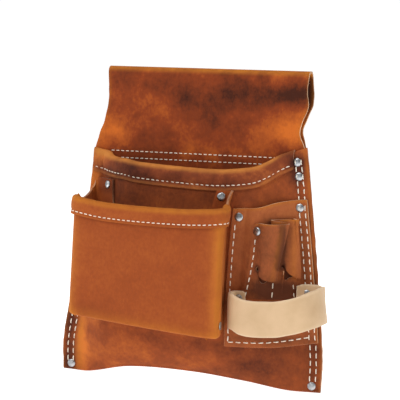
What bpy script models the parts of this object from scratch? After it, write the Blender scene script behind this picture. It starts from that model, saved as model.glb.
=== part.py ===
"""Leather tool pouch for an electrician's belt.

Inside this file lengths are millimetres: x runs across, y runs back from the back panel's rear face, and h
runs up from the bottom of the pouch. at() turns them into metres from the middle of the belt tunnel's
inner top.
"""

import math

import bmesh
import bpy
from mathutils import Matrix, Vector

# Leather and stitching
PANEL = 2.4                # thickness of the back and pocket leather
STRIP = 1.8                # thickness of hems, tool pocket and sleeves
STRAP = 3.0                # thickness of the hammer loop
GAP = 0.3                  # clearance between flat layers
SOFT_GAP = 0.5             # clearance between curved layers
HEM_GAP = 0.8              # clearance inside a hem
CORNER_GAP = 1.3           # clearance inside a hem that turns corners
TOOL_GAP = 0.8             # clearance behind the tool pocket's sewn edges
THREAD = 0.8               # thickness of a sewn row

# Belt tunnel
TUNNEL_TOP = 345.0
TUNNEL_DEPTH = 18.0        # front face of the flap to the rear face of the tunnel
FLEX_H = 266.0             # the leather bends here, just under the belt
FLEX_SLIT = 0.6            # half the slit that the bend needs
TUNNEL_END_H = 239.0       # lower edge of the flap's rear end
BELT_Y = 6.5
BELT_H = TUNNEL_TOP - PANEL

# Main pocket
FLANGE = 15.0              # width of the sewn side flanges
BULGE = 29.0               # how far the pocket stands off its flanges
PILLOW = 62.0              # height over which the bulge grows from the bottom
MOUTH_H = 235.5
HEM_BAND = 17.0

# Nail pocket
NAIL_FRONT_Y = -76.0
NAIL_BAND = 15.0
NAIL_GAP = 1.0             # clearance between the nail pocket and the bellows behind it
FLOOR_SHARES = (0.05, 0.1, 0.17, 0.25, 0.4, 0.55, 0.7, 0.85)

# Hammer loop
STRAP_WIDTH = 38.0
STRAP_FRONT_Y = -62.0

# Rivets
HEAD_R = 4.6
SHANK_R = 1.9
TAIL_R = 3.3
HOLE_R = 2.25
RIVET_SIDES = 12

# Colours, roughness and metallic value
SUEDE = ((0.38, 0.11, 0.03), 0.85, 0.0)
DARK_SUEDE = ((0.27, 0.07, 0.02), 0.85, 0.0)
STRAP_HIDE = ((0.72, 0.5, 0.3), 0.6, 0.0)
YARN = ((0.86, 0.82, 0.72), 0.8, 0.0)
NICKEL = ((0.78, 0.78, 0.8), 0.25, 1.0)

OUT = -1.0                 # y grows backwards, so a step out of the pouch is negative


# ---------------------------------------------------------------- outlines

def smooth(knots, t):
    """The curve through knots [(t, value), ...] at t, level past both ends."""
    if t <= knots[0][0]:
        return knots[0][1]
    if t >= knots[-1][0]:
        return knots[-1][1]
    i = next(i for i in range(len(knots) - 1) if t <= knots[i + 1][0])
    (t0, a), (t1, b) = knots[i], knots[i + 1]
    before = knots[max(i - 1, 0)]
    after = knots[min(i + 2, len(knots) - 1)]
    slope_a = (b - before[1]) / (t1 - before[0])
    slope_b = (after[1] - a) / (after[0] - t0)
    s = (t - t0) / (t1 - t0)
    d = t1 - t0
    return ((2 * s**3 - 3 * s**2 + 1) * a + (s**3 - 2 * s**2 + s) * d * slope_a
            + (3 * s**2 - 2 * s**3) * b + (s**3 - s**2) * d * slope_b)


def left_edge(h):
    return smooth([(0, -156), (40, -156), (120, -142), (207, -127), (252, -122), (268, -118), (284, -112),
                   (310, -107), (345, -108)], h)


def right_edge(h):
    return smooth([(0, 142), (40, 143), (120, 136), (207, 126), (252, 120), (268, 115), (280, 111),
                   (292, 114), (310, 121), (345, 120)], h)


def bottom_edge(x):
    return smooth([(-150, 4), (-125, 4), (-75, 14), (0, 14.5), (60, 9), (105, 3), (140, 3)], x)


def mouth_edge(x):
    rise = 26.0 if x > 0 else 17.0
    return MOUTH_H + rise * abs(x / 110.0) ** 3.2


def bulge(x, h):
    """How far the main pocket's front stands off its flanges."""
    left = left_edge(h) + FLANGE
    right = right_edge(h) - FLANGE
    s = (x - left) / (right - left)
    if not 0 < s < 1:
        return 0.0
    side = math.sin(math.pi / 2 * min(1, s / 0.24)) * math.cos(math.pi / 2 * max(0, (s - 0.55) / 0.45)) ** 1.1
    low = min(1, max(0, (h - bottom_edge(x)) / PILLOW))
    mouth = 1 - 0.1 * max(0, (h - 150) / 100)
    return BULGE * side * math.sin(math.pi / 2 * low) ** 0.6 * mouth


def front_y(x, h):
    """Outer face of the main pocket."""
    return -(2 * PANEL + GAP) - bulge(x, h)


def tool_left(h):
    return smooth([(50, 42), (120, 43.5), (200, 48)], h)


def tool_right(h):
    return right_edge(h) - 3.0


def tool_gape(x, h):
    """How far the tool pocket stands off the main pocket."""
    left = tool_left(h) + 15
    right = right_edge(h) - FLANGE - 4
    s = (x - left) / (right - left)
    if not 0 < s < 1:
        return 0.0
    return 9.0 * math.sin(math.pi * s) ** 0.8 * smooth([(60, 0.0), (95, 0.75), (205, 1.0)], h)


def tool_y(x, h):
    """Outer face of the tool pocket."""
    return front_y(x, h) - TOOL_GAP - STRIP - tool_gape(x, h)


def tool_top(x):
    return smooth([(46, 199), (75, 201), (98, 207), (125, 210)], x)


def tool_bottom(x):
    return smooth([(40, 50), (90, 51), (142, 60)], x)


def surface_normal(surface, x, h):
    """Unit vector out of a surface y(x, h), in the file's x, y, h."""
    dx = (surface(x + 1, h) - surface(x - 1, h)) / 2
    dh = (surface(x, h + 1) - surface(x, h - 1)) / 2
    return Vector((dx, OUT, dh)).normalized()


# ---------------------------------------------------------------- building blocks

def at(x, y, h):
    return Vector((x, y - BELT_Y, h - BELT_H)) * 0.001


def steps(a, b, count):
    return [a + (b - a) * i / (count - 1) for i in range(count)]


def material(name, look):
    """One Principled material for each node."""
    colour, roughness, metallic = look
    made = bpy.data.materials.new(name)
    made.use_nodes = True
    shader = made.node_tree.nodes["Principled BSDF"]
    shader.inputs["Base Color"].default_value = (*colour, 1)
    shader.inputs["Roughness"].default_value = roughness
    shader.inputs["Metallic"].default_value = metallic
    return made


def add_object(name, points, faces, look):
    mesh = bpy.data.meshes.new(name)
    mesh.from_pydata([tuple(p) for p in points], [], faces)
    mesh.materials.append(material(name, look))
    mesh.shade_smooth()
    mesh.set_sharp_from_angle(angle=math.radians(35))
    made = bpy.data.objects.new(name, mesh)
    bpy.context.scene.collection.objects.link(made)
    return made


def grid_faces(columns, rows, keep=lambda i, j: True):
    """Quads of a grid stored column by column."""
    return [(i * rows + j, (i + 1) * rows + j, (i + 1) * rows + j + 1, i * rows + j + 1)
            for i in range(columns - 1) for j in range(rows - 1) if keep(i, j)]


def leather(name, points, faces, thickness, look):
    """A sheet whose faces look out of the pouch, thickened inwards."""
    made = add_object(name, points, faces, look)
    solid = made.modifiers.new("thickness", "SOLIDIFY")
    solid.thickness = thickness * 0.001
    solid.offset = -1
    return made


def sewn_row(name, path, normals):
    """A flat thread row: path is the middle of its face on the leather, normals point out of the leather."""
    half = THREAD * 0.001 / 2
    points = []
    for i, middle in enumerate(path):
        ahead = path[min(i + 1, len(path) - 1)] - path[max(i - 1, 0)]
        across = ahead.cross(normals[i]).normalized() * half
        rise = normals[i] * half * 2
        points += [middle - across, middle + across, middle + across + rise, middle - across + rise]
    last = 4 * (len(path) - 1)
    faces = [(4 * i + k, 4 * i + (k + 1) % 4, 4 * i + 4 + (k + 1) % 4, 4 * i + 4 + k)
             for i in range(len(path) - 1) for k in range(4)]
    faces += [(3, 2, 1, 0), (last, last + 1, last + 2, last + 3)]
    made = add_object(name, points, faces, YARN)
    face_outwards(made)
    return made


def face_outwards(made):
    work = bmesh.new()
    work.from_mesh(made.data)
    bmesh.ops.recalc_face_normals(work, faces=work.faces)
    work.to_mesh(made.data)
    work.free()


def row_on(name, surface, spots):
    """A thread row along spots [(x, h), ...] of a surface y(x, h)."""
    normals = [surface_normal(surface, x, h) for x, h in spots]
    path = [at(x, surface(x, h), h) + normal * SOFT_GAP * 0.001 for (x, h), normal in zip(spots, normals)]
    return sewn_row(name, path, normals)


def turned(name, middle, axis, profile, look):
    """A closed solid turned from profile [(radius, along axis), ...], which starts and ends on the axis."""
    work = bmesh.new()
    points = [work.verts.new((radius * 0.001, 0, along * 0.001)) for radius, along in profile]
    edges = [work.edges.new(pair) for pair in zip(points, points[1:])]
    bmesh.ops.spin(work, geom=points + edges, cent=(0, 0, 0), axis=(0, 0, 1), angle=2 * math.pi,
                   steps=RIVET_SIDES, use_merge=True)
    bmesh.ops.remove_doubles(work, verts=work.verts, dist=0.00001)
    bmesh.ops.recalc_face_normals(work, faces=work.faces)
    mesh = bpy.data.meshes.new(name)
    work.to_mesh(mesh)
    work.free()
    mesh.materials.append(material(name, look))
    mesh.shade_smooth()
    mesh.set_sharp_from_angle(angle=math.radians(40))
    made = bpy.data.objects.new(name, mesh)
    made.location = middle
    made.rotation_mode = "QUATERNION"
    made.rotation_quaternion = axis.to_track_quat("Z", "Y")
    bpy.context.scene.collection.objects.link(made)
    return made


def rivet(name, spot, normal, grip, layers):
    """A rivet whose head sits on spot, with a clearance hole through each of the layers."""
    length = grip + 2 * SOFT_GAP
    profile = [(0, 1.7), (3.2, 1.2), (HEAD_R, 0), (SHANK_R, 0), (SHANK_R, -length), (TAIL_R, -length),
               (TAIL_R - 0.3, -length - 0.9), (0, -length - 0.9)]
    made = turned(name, spot + normal * SOFT_GAP * 0.001, normal, profile, NICKEL)
    cutter = turned("cut_" + name, spot, normal,
                    [(0, 4), (HOLE_R, 4), (HOLE_R, -grip - 4), (0, -grip - 4)], NICKEL)
    cutter.hide_render = True
    cutter.display_type = "WIRE"
    for layer in layers:
        hole = layer.modifiers.new("hole_" + name, "BOOLEAN")
        hole.operation = "DIFFERENCE"
        hole.object = cutter
    return made


def rivet_on(name, surface, x, h, grip, layers):
    return rivet(name, at(x, surface(x, h), h), surface_normal(surface, x, h), grip, layers)


# ---------------------------------------------------------------- belt tunnel and back panel

def tunnel_section():
    """Outer face of the flap above the bend, from the front, over the top and down the rear, as (y, h)."""
    radius = TUNNEL_DEPTH / 2
    centre_y = -PANEL + radius
    centre_h = TUNNEL_TOP - radius
    front = [(-PANEL, h) for h in steps(FLEX_H + FLEX_SLIT, centre_h - 8, 4)]
    fold = [(centre_y - radius * math.cos(a), centre_h + radius * math.sin(a))
            for a in steps(0, math.pi, 9)]
    rear_y = TUNNEL_DEPTH - PANEL
    rear = [(rear_y, 322.0), (rear_y, 292.0), (rear_y - 2.5, 279.0), (9.0, FLEX_H + FLEX_SLIT)]
    return front + fold + rear


def across_section(name, section, count, margin=0.0):
    """A sheet across the pouch from edge to edge, along a section [(y, h), ...] of its outer face."""
    points = []
    for i in range(count):
        for y, h in section:
            left = left_edge(h) + margin
            right = right_edge(h) - margin
            points.append(at(left + (right - left) * i / (count - 1), y, h))
    return leather(name, points, grid_faces(count, len(section)), PANEL, SUEDE)


def make_belt_tunnel():
    return across_section("belt_tunnel", tunnel_section(), 5)


def make_tunnel_end():
    """The rear end of the flap, sewn flat on the back panel below the bend."""
    sewn_y = GAP + PANEL
    section = [(9.0 - 0.5, FLEX_H - FLEX_SLIT), (sewn_y, 254.0), (sewn_y, TUNNEL_END_H)]
    return across_section("tunnel_end", section, 5, margin=1.0)


def make_back_panel():
    columns = steps(0, 1, 13)
    heights = [0.0, 0.08, 0.2, 0.5, 0.75, 0.9, 1.0]
    points = []
    for u in columns:
        for v in heights:
            x = left_edge(0) + (right_edge(0) - left_edge(0)) * u
            h = bottom_edge(x) + (FLEX_H - FLEX_SLIT - bottom_edge(x)) * v
            x = left_edge(h) + (right_edge(h) - left_edge(h)) * u
            points.append(at(x, -PANEL, h))
    return leather("back_panel", points, grid_faces(len(columns), len(heights)), PANEL, SUEDE)


# ---------------------------------------------------------------- main pocket

def make_main_pocket():
    columns = [0, 0.03, 0.05, 0.065, 0.085, 0.105, 0.13, 0.155, 0.18, 0.21, 0.25, 0.3, 0.38, 0.46, 0.54,
               0.6, 0.66, 0.72, 0.78, 0.83, 0.88, 0.92, 0.945, 0.97, 1]
    heights = [0, 0.02, 0.055, 0.1, 0.16, 0.23, 0.33, 0.45, 0.58, 0.72, 0.86, 1]
    points = []
    for u in columns:
        for v in heights:
            x = left_edge(0) + (right_edge(0) - left_edge(0)) * u
            low = bottom_edge(x)
            h = low + (250 - low) * v
            x = left_edge(h) + (right_edge(h) - left_edge(h)) * u
            h = low + (mouth_edge(x) - low) * v
            points.append(at(x, front_y(x, h), h))
    return leather("main_pocket", points, grid_faces(len(columns), len(heights)), PANEL, DARK_SUEDE)


def hem_section(gap):
    """Outer face of a strip folded over a mouth, as (step out of the pocket, step up from its edge)."""
    out = gap + STRIP
    inside = -(PANEL + gap + STRIP)
    middle = (out + inside) / 2
    reach = (out - inside) / 2
    over = [(middle + reach * math.cos(a), 0.5 + reach * math.sin(a)) for a in steps(0, math.pi, 5)]
    return over, out, inside


def make_main_hem():
    over, out, inside = hem_section(HEM_GAP)
    points = []
    columns = steps(-101, -72, 8) + steps(-65, 93, 17)
    for x in columns:
        edge = mouth_edge(x)
        section = [(out, -HEM_BAND), (out, -HEM_BAND / 2)] + over + [(inside, -8.0)]
        for step_out, up in section:
            h = edge + up
            wall = Vector((x, front_y(x, min(h, edge)), h))
            normal = surface_normal(front_y, x, min(h, edge))
            normal.z = 0
            points.append(at(*(wall + normal.normalized() * step_out)))
    return leather("main_hem", points, grid_faces(len(columns), len(over) + 3), STRIP, SUEDE)


# ---------------------------------------------------------------- nail pocket

def nail_rear_left(h):
    return smooth([(70, -112), (220, -109.5)], h)


def nail_rear_right(h):
    return smooth([(70, 40.5), (220, 44.5)], h)


def nail_path(h):
    """Outer face of the nail pocket at one height, from its left flange round to its right flange."""
    def seat(x):
        return front_y(x, h) - NAIL_GAP

    left = nail_rear_left(h)
    right = nail_rear_right(h)
    front_left = smooth([(70, -124), (205, -118)], h)
    front_right = smooth([(66, 47.5), (150, 49), (205, 53)], h)
    face = NAIL_FRONT_Y
    return [(left + 18, seat(left + 18)), (left + 13.5, seat(left + 13.5)), (left + 9, seat(left + 9)),
            (left + 5, seat(left + 5)), (left + 1.5, seat(left + 1.5)),
            (left - 1, seat(left) - 4), (left - 2.5, seat(left) - 11), (front_left + 3, face + 16),
            (front_left, face + 8), (front_left + 3, face + 3), (front_left + 9, face + 1),
            (-80, face - 1.5), (-50, face - 2.5), (-20, face - 2.5), (15, face - 2), (34, face - 0.7),
            (front_right - 7, face + 0.8), (front_right - 1.5, face + 2.5), (front_right, face + 7),
            (front_right - 0.7, face + 15),
            (right + 1.3, seat(right) - 11), (right + 0.5, seat(right) - 4), (right - 1.5, seat(right - 1.5)),
            (right - 9, seat(right - 9)), (right - 18, seat(right - 18))]


def nail_top(x, y):
    """The mouth drops from the left flange to a level wall, and slopes down from the right flange."""
    reach = min(1, max(0, (y + 38) / (NAIL_FRONT_Y + 38)))
    front = smooth([(-118, 207), (-80, 201), (0, 198.5), (53, 203)], x)
    rear = 217.5 if x > 0 else smooth([(-115, 210), (-111, 214), (-104, 222), (-94, 223)], x)
    return rear + (front - rear) * reach


def nail_bottom(x):
    return smooth([(-124, 80), (-60, 74), (20, 67), (50, 65)], x)


NAIL_HEIGHTS = [0, 0.2, 0.4, 0.6, 0.8, 1]
NAIL_HEM_FIRST = 7         # the points of nail_path() that the hem covers
NAIL_HEM_END = -5


def nail_grid():
    base = nail_path(140)
    points = []
    for k, (base_x, base_y) in enumerate(base):
        low = nail_bottom(base_x)
        high = nail_top(base_x, base_y)
        for v in NAIL_HEIGHTS:
            h = low + (high - low) * v
            x, y = nail_path(h)[k]
            points.append((x, y, h))
    return points


def make_nail_pocket():
    """Walls, with the flanges turned in behind them, and a floor between the rear corners."""
    spots = nail_grid()
    rows = len(NAIL_HEIGHTS)
    columns = len(spots) // rows
    faces = grid_faces(columns, rows)
    first, last = 4, columns - 3
    pairs = [(first + i, last - i) for i in range((last - first) // 2 + 1)]
    middles = {}
    for step, (a, b) in enumerate(pairs):
        if a < b:
            left, right = spots[a * rows], spots[b * rows]
            middles[a] = []
            for share in FLOOR_SHARES:
                x = left[0] + (right[0] - left[0]) * share
                h = left[2] + (right[2] - left[2]) * share
                seat = front_y(x, h) - NAIL_GAP - 3.5 * step
                y = min(seat, left[1] + (right[1] - left[1]) * share) if step else seat
                middles[a].append(len(spots))
                spots.append((x, y, h))
    for (a, b), (c, d) in zip(pairs, pairs[1:]):
        near = [a * rows] + middles[a] + [b * rows]
        if c < d:
            far = [c * rows] + middles[c] + [d * rows]
            faces += [(near[i], near[i + 1], far[i + 1], far[i]) for i in range(len(near) - 1)]
        else:
            faces += [(near[i], near[i + 1], c * rows) for i in range(len(near) - 1)]
    return leather("nail_pocket", [at(*spot) for spot in spots], faces, PANEL, SUEDE)


def make_nail_hem():
    """The strip folded over the nail pocket's front wall and its corners."""
    over, out, inside = hem_section(CORNER_GAP)
    base = nail_path(195)[NAIL_HEM_FIRST:NAIL_HEM_END]
    ring = [Vector((x, y)) for x, y in base]
    points = []
    for k, (x, y) in enumerate(base):
        ahead = ring[min(k + 1, len(ring) - 1)] - ring[max(k - 1, 0)]
        normal = Vector((ahead.y, -ahead.x)).normalized()
        edge = nail_top(x, y)
        section = [(out, -NAIL_BAND), (out, -NAIL_BAND / 2)] + over + [(inside, -8.0)]
        for step_out, up in section:
            wall = Vector(nail_path(edge + min(up, 0))[k + NAIL_HEM_FIRST])
            spot = wall + normal * step_out
            points.append(at(spot.x, spot.y, edge + up))
    return leather("nail_hem", points, grid_faces(len(base), len(over) + 3), STRIP, SUEDE)


# ---------------------------------------------------------------- tool pocket and sleeves

def make_tool_pocket():
    columns = [0, 0.08, 0.165, 0.2, 0.28, 0.4, 0.52, 0.64, 0.74, 0.83, 0.91, 1]
    heights = [0, 0.1, 0.2, 0.35, 0.55, 0.78, 1]
    points = []
    for u in columns:
        for v in heights:
            guess = 44 + 85 * u
            h = tool_bottom(guess) + (tool_top(guess) - tool_bottom(guess)) * v
            x = tool_left(h) + (tool_right(h) - tool_left(h)) * u
            points.append(at(x, tool_y(x, h), h))
    return leather("tool_pocket", points, grid_faces(len(columns), len(heights)), STRIP, DARK_SUEDE)


SLEEVE_LOW = 113.5
SLEEVE_LIP = 126.0         # the crescent slit: above it the strip stands up as a tube, below it lies flat
SLEEVE_RISE = 13.0


def sleeve_rows(h):
    """x of the strip's left edge, its three sewn rows and its right edge."""
    left = smooth([(96, 66), (128, 72), (160, 77), (184, 82.5)], h)
    middle = smooth([(96, 90), (132, 94), (184, 99)], h)
    right = smooth([(96, 111), (184, 111.5)], h)
    edge = smooth([(96, 61.5), (128, 67.5), (160, 72), (184, 72)], h)
    return edge, left, middle, right, right + 2.5


def sleeve_spots(h, rise):
    """(x, height over the tool pocket) across the strip at one height."""
    edge, left, middle, right, end = sleeve_rows(h)
    spots = [(edge, 0.0), (left, 0.0)]
    for low, high in ((left, middle), (middle, right)):
        for s in (0.12, 0.33, 0.6, 0.86):
            spots.append((low + (high - low) * s, rise * math.sin(math.pi * s) ** 0.55))
        spots.append((high, 0.0))
    spots.append((end, 0.0))
    return spots


def make_tool_sleeves():
    levels = [(SLEEVE_LOW, 0.0), (SLEEVE_LIP - 5, 0.0), (SLEEVE_LIP, SLEEVE_RISE),
              (SLEEVE_LIP + 25, SLEEVE_RISE), (184.0, SLEEVE_RISE)]
    points = []
    count = len(sleeve_spots(150, 0))
    for k in range(count):
        for h, rise in levels:
            x, over = sleeve_spots(h, rise)[k]
            normal = surface_normal(tool_y, x, h)
            spot = Vector((x, tool_y(x, h), h)) + normal * (over + SOFT_GAP + STRIP)
            points.append(at(*spot))
    slit_columns = (2, 3, 4, 7, 8, 9)
    faces = grid_faces(count, len(levels), keep=lambda i, j: not (j == 1 and i in slit_columns))
    return leather("tool_sleeves", points, faces, STRIP, DARK_SUEDE)


# ---------------------------------------------------------------- hammer loop

TAB_LEFT_H = 93.0          # middle of each tab
TAB_RIGHT_H = 105.0
TAB_LEFT_END = 65.0        # free end of each tab
TAB_RIGHT_END = 115.5
LOOP_WEDGE = 5.4           # the loop's ends are cut back above and below its axis so that it can tilt


def strap_height(x):
    """Middle of the strap: it climbs to the right and its front hangs a little."""
    return smooth([(51, TAB_LEFT_H), (80, 88), (115, 92), (149, TAB_RIGHT_H)], x)


def strap_sheet(name, path):
    """A strap standing on edge along path [(x, y, middle height), ...] of its outer face."""
    points = []
    for x, y, middle in path:
        for h in steps(middle - STRAP_WIDTH / 2, middle + STRAP_WIDTH / 2, 3):
            points.append(at(x, y, h))
    return leather(name, points, grid_faces(len(path), 3), STRAP, STRAP_HIDE)


def tab_seat(x, middle):
    """A tab's outer face lies on the tool pocket's highest line."""
    half = STRAP_WIDTH / 2
    heights = steps(middle - half, middle + half, 9)
    return min(tool_y(x + side, h) for side in (-3, 0, 3) for h in heights) - SOFT_GAP


def make_tab_left():
    flat = [(x, tab_seat(x, TAB_LEFT_H)) for x in (TAB_LEFT_END, 60, 54)]
    bend = [(51.3, flat[-1][1] - 1.2), (50.2, flat[-1][1] - 3.6), (50, -45.0)]
    return strap_sheet("hammer_tab_left", [(x, y, TAB_LEFT_H) for x, y in flat + bend])


def make_tab_right():
    bend = [(149.5, -22.5), (148.2, -15.0), (144.5, -10.2), (139, tab_seat(136, TAB_RIGHT_H) - 0.4)]
    flat = [(x, tab_seat(x, TAB_RIGHT_H)) for x in (132, 124, TAB_RIGHT_END)]
    return strap_sheet("hammer_tab_right", [(x, y, TAB_RIGHT_H) for x, y in bend + flat])


def make_hammer_loop():
    """The loop between its two bends. Its end edges are wedges round the axis."""
    path = [(50.0, -46.2), (50.6, -46.2 - LOOP_WEDGE), (56, -56.5), (66, -59.5), (80, -61.5),
            (95, STRAP_FRONT_Y), (110, -61.5), (125, -58.5), (137, -52.5), (145, -44),
            (149.3, -24 - LOOP_WEDGE), (149.7, -23.7)]
    made = strap_sheet("hammer_loop", [(x, y, strap_height(x)) for x, y in path])
    points = made.data.vertices
    last = 3 * (len(path) - 1)
    for end, neighbour in ((0, 3), (last, last - 3)):
        for level in (0, 2):
            points[end + level].co = points[end + level].co.lerp(points[neighbour + level].co, 0.97)
    return made


# ---------------------------------------------------------------- assembly

def make_pouch_rivets(parts):
    """Each rivet with the layers that it goes through."""
    back, end, main = parts["back_panel"], parts["tunnel_end"], parts["main_pocket"]
    nail, tool, sleeves = parts["nail_pocket"], parts["tool_pocket"], parts["tool_sleeves"]
    seam = 2 * PANEL + GAP
    rivet_on("seam_rivet_right_top", front_y, 110, 249, seam + GAP + PANEL, [main, back, end])
    rivet_on("seam_rivet_right_upper", front_y, 112.5, 234, seam, [main, back])
    rivet_on("corner_rivet_left", front_y, -146.5, 11, seam, [main, back])
    rivet_on("corner_rivet_right", front_y, 132.5, 10, seam, [main, back])
    rivet_on("tool_pocket_rivet_right", tool_y, 115, 201, seam + TOOL_GAP + STRIP, [tool, main, back])
    rivet_on("tool_pocket_rivet_left", tool_y, 54.5, 190, TOOL_GAP + STRIP + PANEL, [tool, main])
    for side, x, h in (("left", -100.5, 216.0), ("right", 36.0, 211.0)):
        rivet_on(f"nail_rivet_{side}_top", nail_seat, x, h, NAIL_GAP + 2 * PANEL, [nail, main])
    wall_rivet("nail_rivet_right_low", nail, 19, 20, 78.0)
    wall_rivet("nail_rivet_left_low", nail, 6, 7, 92.0)
    rivet_on("sleeve_rivet", sleeve_face, 77.0, 177.0, SOFT_GAP + 2 * STRIP, [sleeves, tool])
    tab_rivet("strap_rivet_left", 59.5, 103.0, TAB_LEFT_H, [parts["hammer_tab_left"], tool, main])
    tab_rivet("strap_rivet_right", 123.5, 112.0, TAB_RIGHT_H, [parts["hammer_tab_right"], tool, main, back])


def nail_seat(x, h):
    """Front face of the nail pocket's turned-in flanges."""
    return front_y(x, h) - NAIL_GAP - PANEL / abs(surface_normal(front_y, x, h).y) - GAP


def wall_rivet(name, nail, first, second, h):
    """A rivet in the nail pocket's side wall, between two points of its path."""
    a, b = nail_path(h)[first], nail_path(h)[second]
    along = Vector((b[0] - a[0], b[1] - a[1], 0)).normalized()
    normal = Vector((along.y, -along.x, 0))
    return rivet(name, at((a[0] + b[0]) / 2, (a[1] + b[1]) / 2, h), normal, PANEL, [nail])


def tab_rivet(name, x, h, middle, layers):
    """A rivet through a tab of the hammer loop and what lies under it."""
    outer = min(tab_seat(x + side, middle) for side in (-HEAD_R, 0, HEAD_R)) - STRAP
    under = 0.0 if len(layers) > 3 else front_y(x + TAIL_R, h) + PANEL + SOFT_GAP
    return rivet(name, at(x, outer, h), Vector((0, OUT, 0)), under - outer, layers)


def sleeve_face(x, h):
    return tool_y(x, h) - SOFT_GAP - STRIP


def flap_face(x, h):
    return -PANEL


def main_hem_face(x, h):
    return front_y(x, h) - (HEM_GAP + STRIP) / abs(surface_normal(front_y, x, h).y)


def nail_hem_row():
    """The row round the nail pocket's mouth."""
    base = nail_path(190)[NAIL_HEM_FIRST + 1:NAIL_HEM_END - 1]
    ring = [Vector((x, y, 0)) for x, y in base]
    normals = []
    path = []
    for k, spot in enumerate(ring):
        ahead = (ring[min(k + 1, len(ring) - 1)] - ring[max(k - 1, 0)]).normalized()
        normal = Vector((ahead.y, -ahead.x, 0))
        out = spot + normal * (CORNER_GAP + STRIP + SOFT_GAP)
        path.append(at(out.x, out.y, nail_top(spot.x, spot.y) - 12.0))
        normals.append(normal)
    return sewn_row("thread_nail_hem", path, normals)


def make_rows():
    """The sewn rows, each one node."""
    for name, h in (("thread_tunnel_upper", 252.5), ("thread_tunnel_lower", 245.0)):
        row_on(name, flap_face, [(x, h) for x in steps(-103, 100, 5)])
    row_on("thread_main_hem", main_hem_face, [(x, mouth_edge(x) - 13) for x in steps(-101, 91, 19)])
    nail_hem_row()
    for place, step in (("inner", 12.5), ("outer", 6.0)):
        row_on(f"thread_seam_left_{place}", front_y, [(left_edge(h) + step, h) for h in steps(22, 226, 7)])
        row_on(f"thread_seam_right_{place}", front_y, [(right_edge(h) - step, h) for h in (16, 30, 45)])
        row_on(f"thread_tool_right_{place}", tool_y, [(right_edge(h) - step, h) for h in steps(128, 192, 5)])
    row_on("thread_tool_left", tool_y, [(tool_left(h) + 4, h) for h in steps(122, 182, 6)])
    row_on("thread_tool_bottom", tool_y, [(x, tool_bottom(x) + 5.5) for x in steps(46, 131, 11)])
    for place, column, side, high in (("left", 1, -2.2, 166), ("middle", 2, 0, 120), ("right", 3, 1.0, 120)):
        spots = [(sleeve_rows(h)[column] + side, h) for h in steps(116, high, 4)]
        row_on(f"thread_sleeve_{place}", sleeve_face, spots)


def joint_axis(name, x, y, h):
    """An empty on a joint's axis, for the pieces that move with it."""
    made = bpy.data.objects.new(name, None)
    made.location = at(x, y, h)
    made.empty_display_size = 0.02
    bpy.context.scene.collection.objects.link(made)
    return made


def hang(objects, parent):
    for made in objects:
        made.parent = parent
        made.matrix_parent_inverse = Matrix.Translation(-parent.location)


def main():
    for old in list(bpy.data.objects):
        bpy.data.objects.remove(old, do_unlink=True)
    parts = {}
    makers = (make_belt_tunnel, make_tunnel_end, make_back_panel, make_main_pocket, make_main_hem,
              make_nail_pocket, make_nail_hem, make_tool_pocket, make_tool_sleeves, make_tab_left,
              make_tab_right, make_hammer_loop)
    for make in makers:
        made = make()
        parts[made.name] = made
    make_pouch_rivets(parts)
    make_rows()
    bpy.context.view_layer.update()
    solids = [made for made in bpy.data.objects if made.type == "MESH"]
    loop = parts["hammer_loop"]
    hang([loop], joint_axis("hammer_loop_axis", 50, -45.6, TAB_LEFT_H))
    rest = [made for made in solids if made not in (parts["belt_tunnel"], loop)]
    hang(rest, joint_axis("belt_flex_axis", 0, -PANEL, FLEX_H))


main()
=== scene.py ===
"""Finished look of a leather tool pouch for an electrician's belt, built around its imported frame.

Inside this file lengths are millimetres: x runs across, y runs back from the back panel's rear face, and h
runs up from the bottom of the pouch. at() turns them into the frame's metres.
"""

import math
import random
from collections import namedtuple

import bmesh
import bpy
from mathutils import Matrix, Vector, noise


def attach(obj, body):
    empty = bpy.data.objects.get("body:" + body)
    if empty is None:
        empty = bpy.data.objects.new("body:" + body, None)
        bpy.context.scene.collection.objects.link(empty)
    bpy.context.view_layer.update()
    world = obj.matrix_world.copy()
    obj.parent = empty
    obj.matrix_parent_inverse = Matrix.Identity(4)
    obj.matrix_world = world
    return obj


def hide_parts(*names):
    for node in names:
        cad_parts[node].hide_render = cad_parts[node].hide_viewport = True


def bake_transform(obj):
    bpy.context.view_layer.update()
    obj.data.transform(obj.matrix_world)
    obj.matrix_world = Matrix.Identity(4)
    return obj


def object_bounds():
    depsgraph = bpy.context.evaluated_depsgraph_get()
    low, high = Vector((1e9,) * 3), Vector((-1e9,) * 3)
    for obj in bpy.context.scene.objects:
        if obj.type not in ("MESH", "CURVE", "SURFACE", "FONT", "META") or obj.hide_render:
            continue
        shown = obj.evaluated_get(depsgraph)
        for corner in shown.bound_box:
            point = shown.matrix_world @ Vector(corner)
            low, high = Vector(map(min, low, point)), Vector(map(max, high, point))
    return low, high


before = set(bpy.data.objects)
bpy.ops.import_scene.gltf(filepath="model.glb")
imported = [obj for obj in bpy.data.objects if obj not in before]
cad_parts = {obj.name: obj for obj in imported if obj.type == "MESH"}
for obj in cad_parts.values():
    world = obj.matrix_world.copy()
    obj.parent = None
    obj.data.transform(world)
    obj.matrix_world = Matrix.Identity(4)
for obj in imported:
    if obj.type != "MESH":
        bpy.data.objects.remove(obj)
CAD_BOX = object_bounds()

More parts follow.
